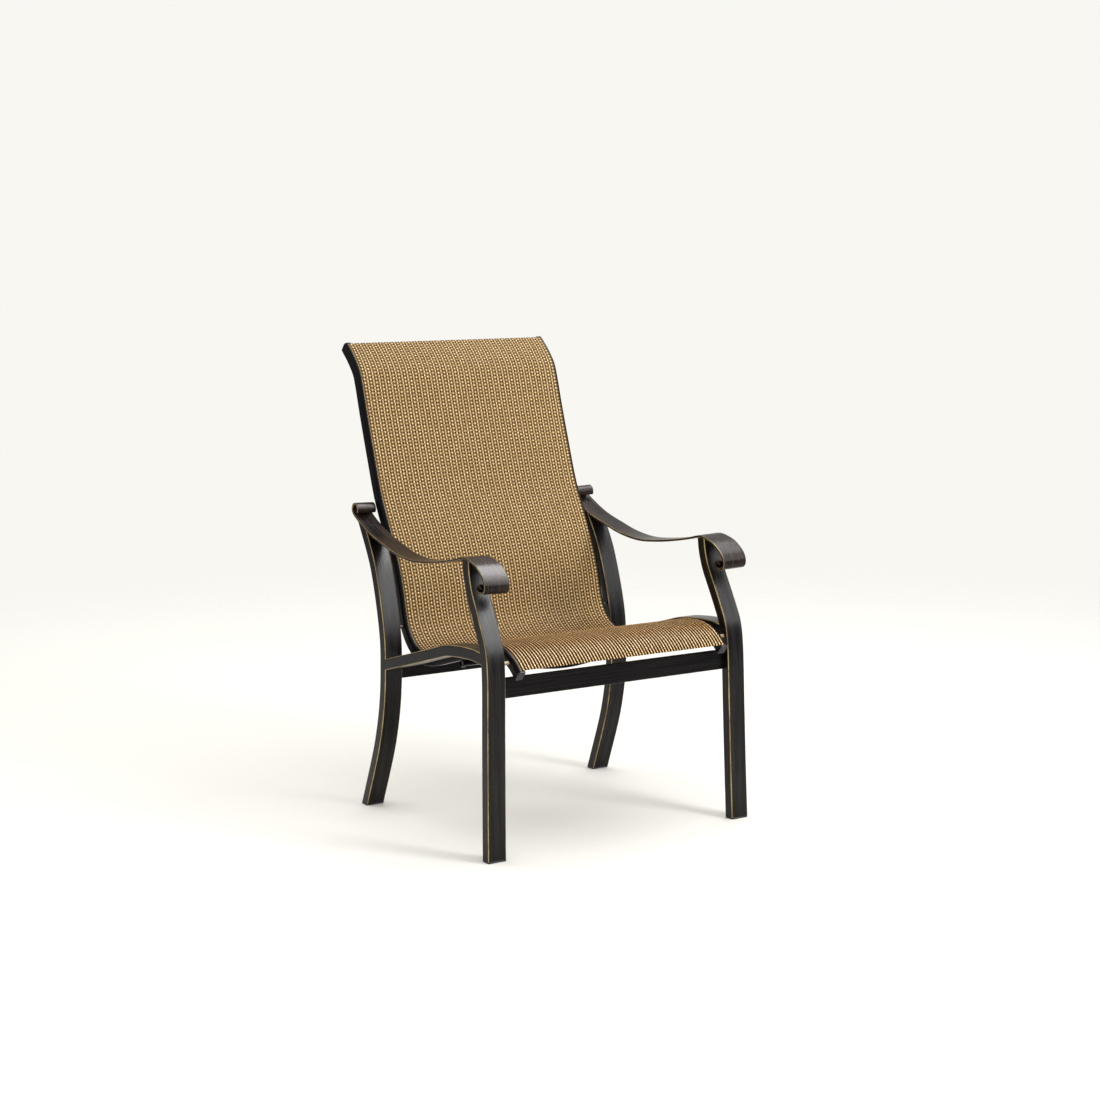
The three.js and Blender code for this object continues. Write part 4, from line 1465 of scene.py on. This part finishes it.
@dataclass
class Spreader:
    """A bowed bar that holds the sling rails apart, with its two screws.

    A head share is a height on a screw's head and the radius there, as shares of the head's own.
    """

    chair: Chair
    name: str
    share: tuple[float, float]
    bow: float
    width: float = 0.020
    depth: float = 0.012
    wall: float = 0.0015
    corner: float = 0.004
    inset: float = 0.008
    samples: int = 801
    spacing: float = 0.012
    screw_radius: float = 0.002
    bite: float = 0.004
    tip_length: float = 0.0012
    tip_radius: float = 0.0008
    head_radius: float = 0.0045
    head_height: float = 0.0026
    head_shares: tuple = ((0.0, 1.0), (0.45, 1.0), (0.85, 0.8), (1.0, 0.5))
    socket_shares: tuple = ((1.0, 0.4), (0.5, 0.4))

    def build(self) -> None:
        """Builds the bar and its screws."""
        chair = self.chair
        self.length = chair.sling.near(place(self.share))
        self.behind = -chair.rail_bottom + GAP
        self.bar()
        for side in Side:
            self.screw(side)

    def put(self, along: np.ndarray, x: np.ndarray, above: np.ndarray) -> np.ndarray:
        """Places points given along the sling, across the chair and above the sling."""
        point, tangent = (row[0] for row in self.chair.sling.at(self.length))
        normal = np.array([-tangent[1], tangent[0]])
        side = point + np.outer(along, tangent) + np.outer(above, normal)
        return self.chair.upright(Side.RIGHT)(x, *side.T)

    def bar(self) -> None:
        """The bar, open at both ends."""
        chair, shell = self.chair, Shell()
        end, bent = chair.rail_outer - self.inset, chair.rail_inner - self.width
        x = np.linspace(-end, end, self.samples)
        wave = (1 + np.cos(np.pi * np.clip(x / bent, -1, 1))) / 2
        line = SideLine(columns(x, -self.behind - self.depth / 2 - self.bow * wave))
        section = Outline.hollow(self.width, self.depth, self.corner, self.wall)
        sweep(shell, line, section, 0.0, line.length, self.put, self.spacing)
        shell.piece(f"{self.name}_spreader", "bar", chair.finishes.rail)

    def screw(self, side: Side) -> None:
        """A pan-head screw through the bar into the back of a rail."""
        chair, shell = self.chair, Shell()
        middle = (chair.rail_inner + chair.rail_outer - self.inset) / 2
        seat = self.behind + self.depth + GAP
        tip = -chair.rail_bottom - chair.rail_wall - self.bite
        height, radius = self.head_height, self.head_radius
        profile = (
            (tip, self.tip_radius), (tip + self.tip_length, self.screw_radius), (seat, self.screw_radius),
            *((seat + up * height, out * radius) for up, out in self.head_shares),
            *((seat + up * height, out * radius, SIX_SIDED) for up, out in self.socket_shares),
        )

        def stand(ring: np.ndarray) -> np.ndarray:
            """Turns the screw's axis square to the sling."""
            return self.put(ring[:, 1], side.value * middle + ring[:, 2], -ring[:, 0])

        lathe(shell, profile, stand)
        shell.piece(f"{side.word}_{self.name}_screw", "pan", chair.finishes.steel)


@dataclass
class LegBolt:
    """The bolt that joins a sling rail to a leg, with its washer, spacer and insert."""

    chair: Chair
    side: Side
    name: str
    leg: SideLine
    depth: float = 0.0154
    radius: float = 0.003
    hole_radius: float = 0.0033
    head_radius: float = 0.0058
    head_height: float = 0.004
    crown_share: float = 0.8
    grip: float = 0.011
    washer_radius: float = 0.006
    washer_thickness: float = 0.0012
    washer_chamfer: float = 0.000175
    spacer_radius: float = 0.0042
    insert_radius: float = 0.0048
    flange_radius: float = 0.0065
    insert_length: float = 0.010
    chamfer: float = 0.0007

    def build(self) -> None:
        """Builds the four pieces."""
        chair = self.chair
        length = chair.sling.meets(-self.depth, self.leg.points)
        self.middle = chair.sling.shifted(-self.depth, np.array([length]))[0]
        face = float(chair.inner_face(*self.middle))
        washer = chair.rail_inner - GAP - self.washer_thickness
        seat, cut = washer - GAP, self.chamfer
        head, tip = seat - self.head_height, face + self.grip
        finishes, width = chair.finishes, self.head_radius
        self.turned("bolt", "hex", finishes.steel, (
            (tip, self.radius - cut), (tip - cut, self.radius), (seat, self.radius),
            (seat, width, SIX_SIDED), (head + cut, width, SIX_SIDED), (head, self.crown_share * width),
        ))
        self.turned("washer", "ring", finishes.steel, self.ring(
            washer, chair.rail_inner - GAP, self.washer_radius, self.washer_chamfer,
        ))
        # Painted shade: the rear spacers are dressed in dark plastic for the shaded gap between rear leg
        # and rail; the front ones are pale nylon.
        sleeve = finishes.nylon if self.name == "front" else finishes.cap
        self.turned("spacer", "sleeve", sleeve, self.ring(
            chair.rail_outer + GAP, face - GAP, self.spacer_radius, cut,
        ))
        flange, end = face + chair.tube_wall + GAP, face + self.insert_length
        bore = (face, self.hole_radius)
        self.turned("insert", "nut", finishes.steel, (
            bore, (end, self.hole_radius), (end, self.flange_radius), (flange, self.flange_radius),
            (flange, self.insert_radius), (face, self.insert_radius), bore,
        ))

    def ring(self, start: float, end: float, radius: float, cut: float) -> Sequence[tuple]:
        """The profile of a ring round the bolt, with chamfered outer edges."""
        bore = (start, self.hole_radius)
        return (
            bore, (end, self.hole_radius), (end, radius - cut), (end - cut, radius),
            (start + cut, radius), (start, radius - cut), bore,
        )

    def turned(self, name: str, form: str, coat: Coat, profile: Sequence[tuple]) -> None:
        """One turned piece on the bolt's axis."""
        shell = Shell()

        def stand(ring: np.ndarray) -> np.ndarray:
            """Lays the piece's axis across the chair."""
            y, z = self.middle[0] + ring[:, 1], self.middle[1] + ring[:, 2]
            return self.chair.upright(self.side)(ring[:, 0], y, z)

        lathe(shell, profile, stand)
        shell.piece(f"{self.side.word}_{self.name}_{name}", form, coat)


@dataclass(frozen=True)
class Lamp:
    """A soft light: where it stands, where it points and how strong it is."""

    name: str
    stands: Spot
    aims: Spot
    size: tuple[float, float]
    power: float
    diffuse: bool = True
    glossy: bool = True


@dataclass(frozen=True)
class Board:
    """A dark board beside the set, which shows only in the gloss of the metal."""

    name: str
    middle: Spot
    size: tuple[float, float]


@dataclass
class Studio:
    """The plain floor, the soft lights, the dark boards and the camera."""

    CORNERS = ((-1, -1), (1, -1), (1, 1), (-1, 1))

    floor_colour: Colour = (0.90, 0.89, 0.85, 1)
    floor_roughness: float = 0.9
    floor_shine: float = 0.1
    floor_fade: tuple[float, float] = (1.2, 4.0)
    wall_colour: Colour = (0.939, 0.930, 0.888, 1)
    ceiling_colour: Colour = (0.75, 0.745, 0.72, 1)
    ceiling: tuple[float, float] = (0.2, 0.55)
    board_colour: Colour = (0.20, 0.19, 0.23, 1)
    lens: float = 70.58
    sight: float = 200.0
    camera_shift: tuple[float, float] = (-0.0135, 0.01757)
    camera_place: Spot = (-2.5221, -4.1006, 1.2845)
    yaw: float = 32.5321
    pitch: float = 8.7850
    roll: float = -0.2378
    lamps: tuple[Lamp, ...] = (
        Lamp("overhead", (0.6, 0.4, 4.2), (0.6, 0.4, 0.0), (7.0, 7.0), 140.0, glossy=False),
        Lamp("key", (1.2, -2.6, 1.6), (0.0, 0.0, 0.5), (0.8, 1.1), 49.0, glossy=False),
        Lamp("sheen", (1.06, -1.0, 2.9), (1.06, -1.0, 0.0), (1.3, 3.6), 380.0, diffuse=False),
        Lamp("low_sheen", (1.1, -2.24, 1.71), (-0.28, -0.36, 0.63), (1.3, 1.4), 55.0, diffuse=False),
    )
    boards: tuple[Board, ...] = (
        Board("right_board", (2.9, -1.7, 0.5), (5.2, 1.9)),
        Board("left_board", (-1.9, 2.95, 0.5), (4.0, 1.9)),
    )

    def build(self) -> None:
        """Builds the studio."""
        self.floor()
        self.world()
        for board in self.boards:
            self.stand(board)
        for lamp in self.lamps:
            self.light(lamp)
        self.camera()
        bpy.context.scene.view_settings.view_transform = "Standard"

    def floor(self) -> None:
        """A wide plain floor that fades into the pale surroundings."""
        paint = Paint("studio_floor")
        settings, inputs = {"operation": "LENGTH"}, {0: paint.position()}
        away = paint.read("ShaderNodeVectorMath", settings, inputs, "Value")
        reach = self.floor_fade[1]
        add_face("studio_floor", [(a * reach, b * reach, 0) for a, b in self.CORNERS], paint.finish(
            Base_Color=self.floor_colour, Roughness=self.floor_roughness,
            Specular_IOR_Level=self.floor_shine, Alpha=1 - away.rise(*self.floor_fade),
        ))

    def world(self) -> None:
        """Pale walls and a darker ceiling."""
        paint = Paint("studio", world=True)
        _, _, height = paint.parts(paint.read("ShaderNodeTexCoord", output="Generated"))
        colour = paint.mixed(height.rise(*self.ceiling), self.wall_colour, self.ceiling_colour)
        background = paint.read("ShaderNodeBackground", None, {"Color": colour, "Strength": 1.0})
        paint.node("ShaderNodeOutputWorld", None, {"Surface": background})
        bpy.context.scene.world = paint.material

    def stand(self, board: Board) -> None:
        """Stands one dark board on edge, facing the chair."""
        middle, upwards = Vector(board.middle), Vector((0, 0, 1))
        across = Vector((*board.middle[:2], 0)).cross(upwards).normalized()
        width, height = board.size
        corners = [
            middle + across * (a * width / 2) + upwards * (b * height / 2) for a, b in self.CORNERS
        ]
        made = add_face(board.name, corners, Paint(board.name).finish(
            Base_Color=(0, 0, 0, 1), Specular_IOR_Level=0.0,
            Emission_Color=self.board_colour, Emission_Strength=1.0,
        ))
        made.visible_camera = made.visible_diffuse = made.visible_shadow = False

    def light(self, lamp: Lamp) -> None:
        """Adds one soft light."""
        data = bpy.data.lights.new(lamp.name, "AREA")
        data.shape = "RECTANGLE"
        data.size, data.size_y = lamp.size
        data.energy = lamp.power
        made = add_object(lamp.name, data)
        made.location = lamp.stands
        made.visible_camera = False
        made.visible_diffuse = lamp.diffuse
        made.visible_glossy = lamp.glossy
        aim = Vector(lamp.aims) - Vector(lamp.stands)
        made.rotation_euler = aim.to_track_quat("-Z", "Y").to_euler()

    def camera(self) -> None:
        """The camera at the photograph's viewing angle."""
        yaw, pitch, roll = (math.radians(angle) for angle in (self.yaw, self.pitch, self.roll))
        ahead = Vector((
            math.sin(yaw) * math.cos(pitch), math.cos(yaw) * math.cos(pitch), -math.sin(pitch)
        ))
        level = Vector((math.cos(yaw), -math.sin(yaw), 0))
        upright = level.cross(ahead)
        right = math.cos(roll) * level + math.sin(roll) * upright
        above = math.cos(roll) * upright - math.sin(roll) * level
        turned = Matrix((right, above, -ahead)).transposed().to_4x4()
        data = bpy.data.cameras.new("photo_view")
        data.lens = self.lens
        data.shift_x, data.shift_y = self.camera_shift
        data.clip_end = self.sight
        camera = add_object("photo_view", data)
        camera.matrix_world = Matrix.Translation(self.camera_place) @ turned
        bpy.context.scene.camera = camera


def main() -> None:
    """Builds the chair and the studio."""
    logging.basicConfig(level=logging.INFO)
    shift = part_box("sling")[0][1] + NOSE_REACH
    chair = Chair(Finishes(), shift)
    for side in Side:
        SideFrame(chair, side).build()
        SlingRail(chair, side).build()
        for name, leg in (("front", chair.front_leg), ("rear", chair.rear_leg)):
            LegBolt(chair, side, name, leg).build()
    CrossRails(chair).build()
    Cloth(chair, Weave()).build()
    for name, (share, bow) in SPREADERS.items():
        Spreader(chair, name, share, bow).build()
    Studio().build()


if __name__ == "__main__":
    main()
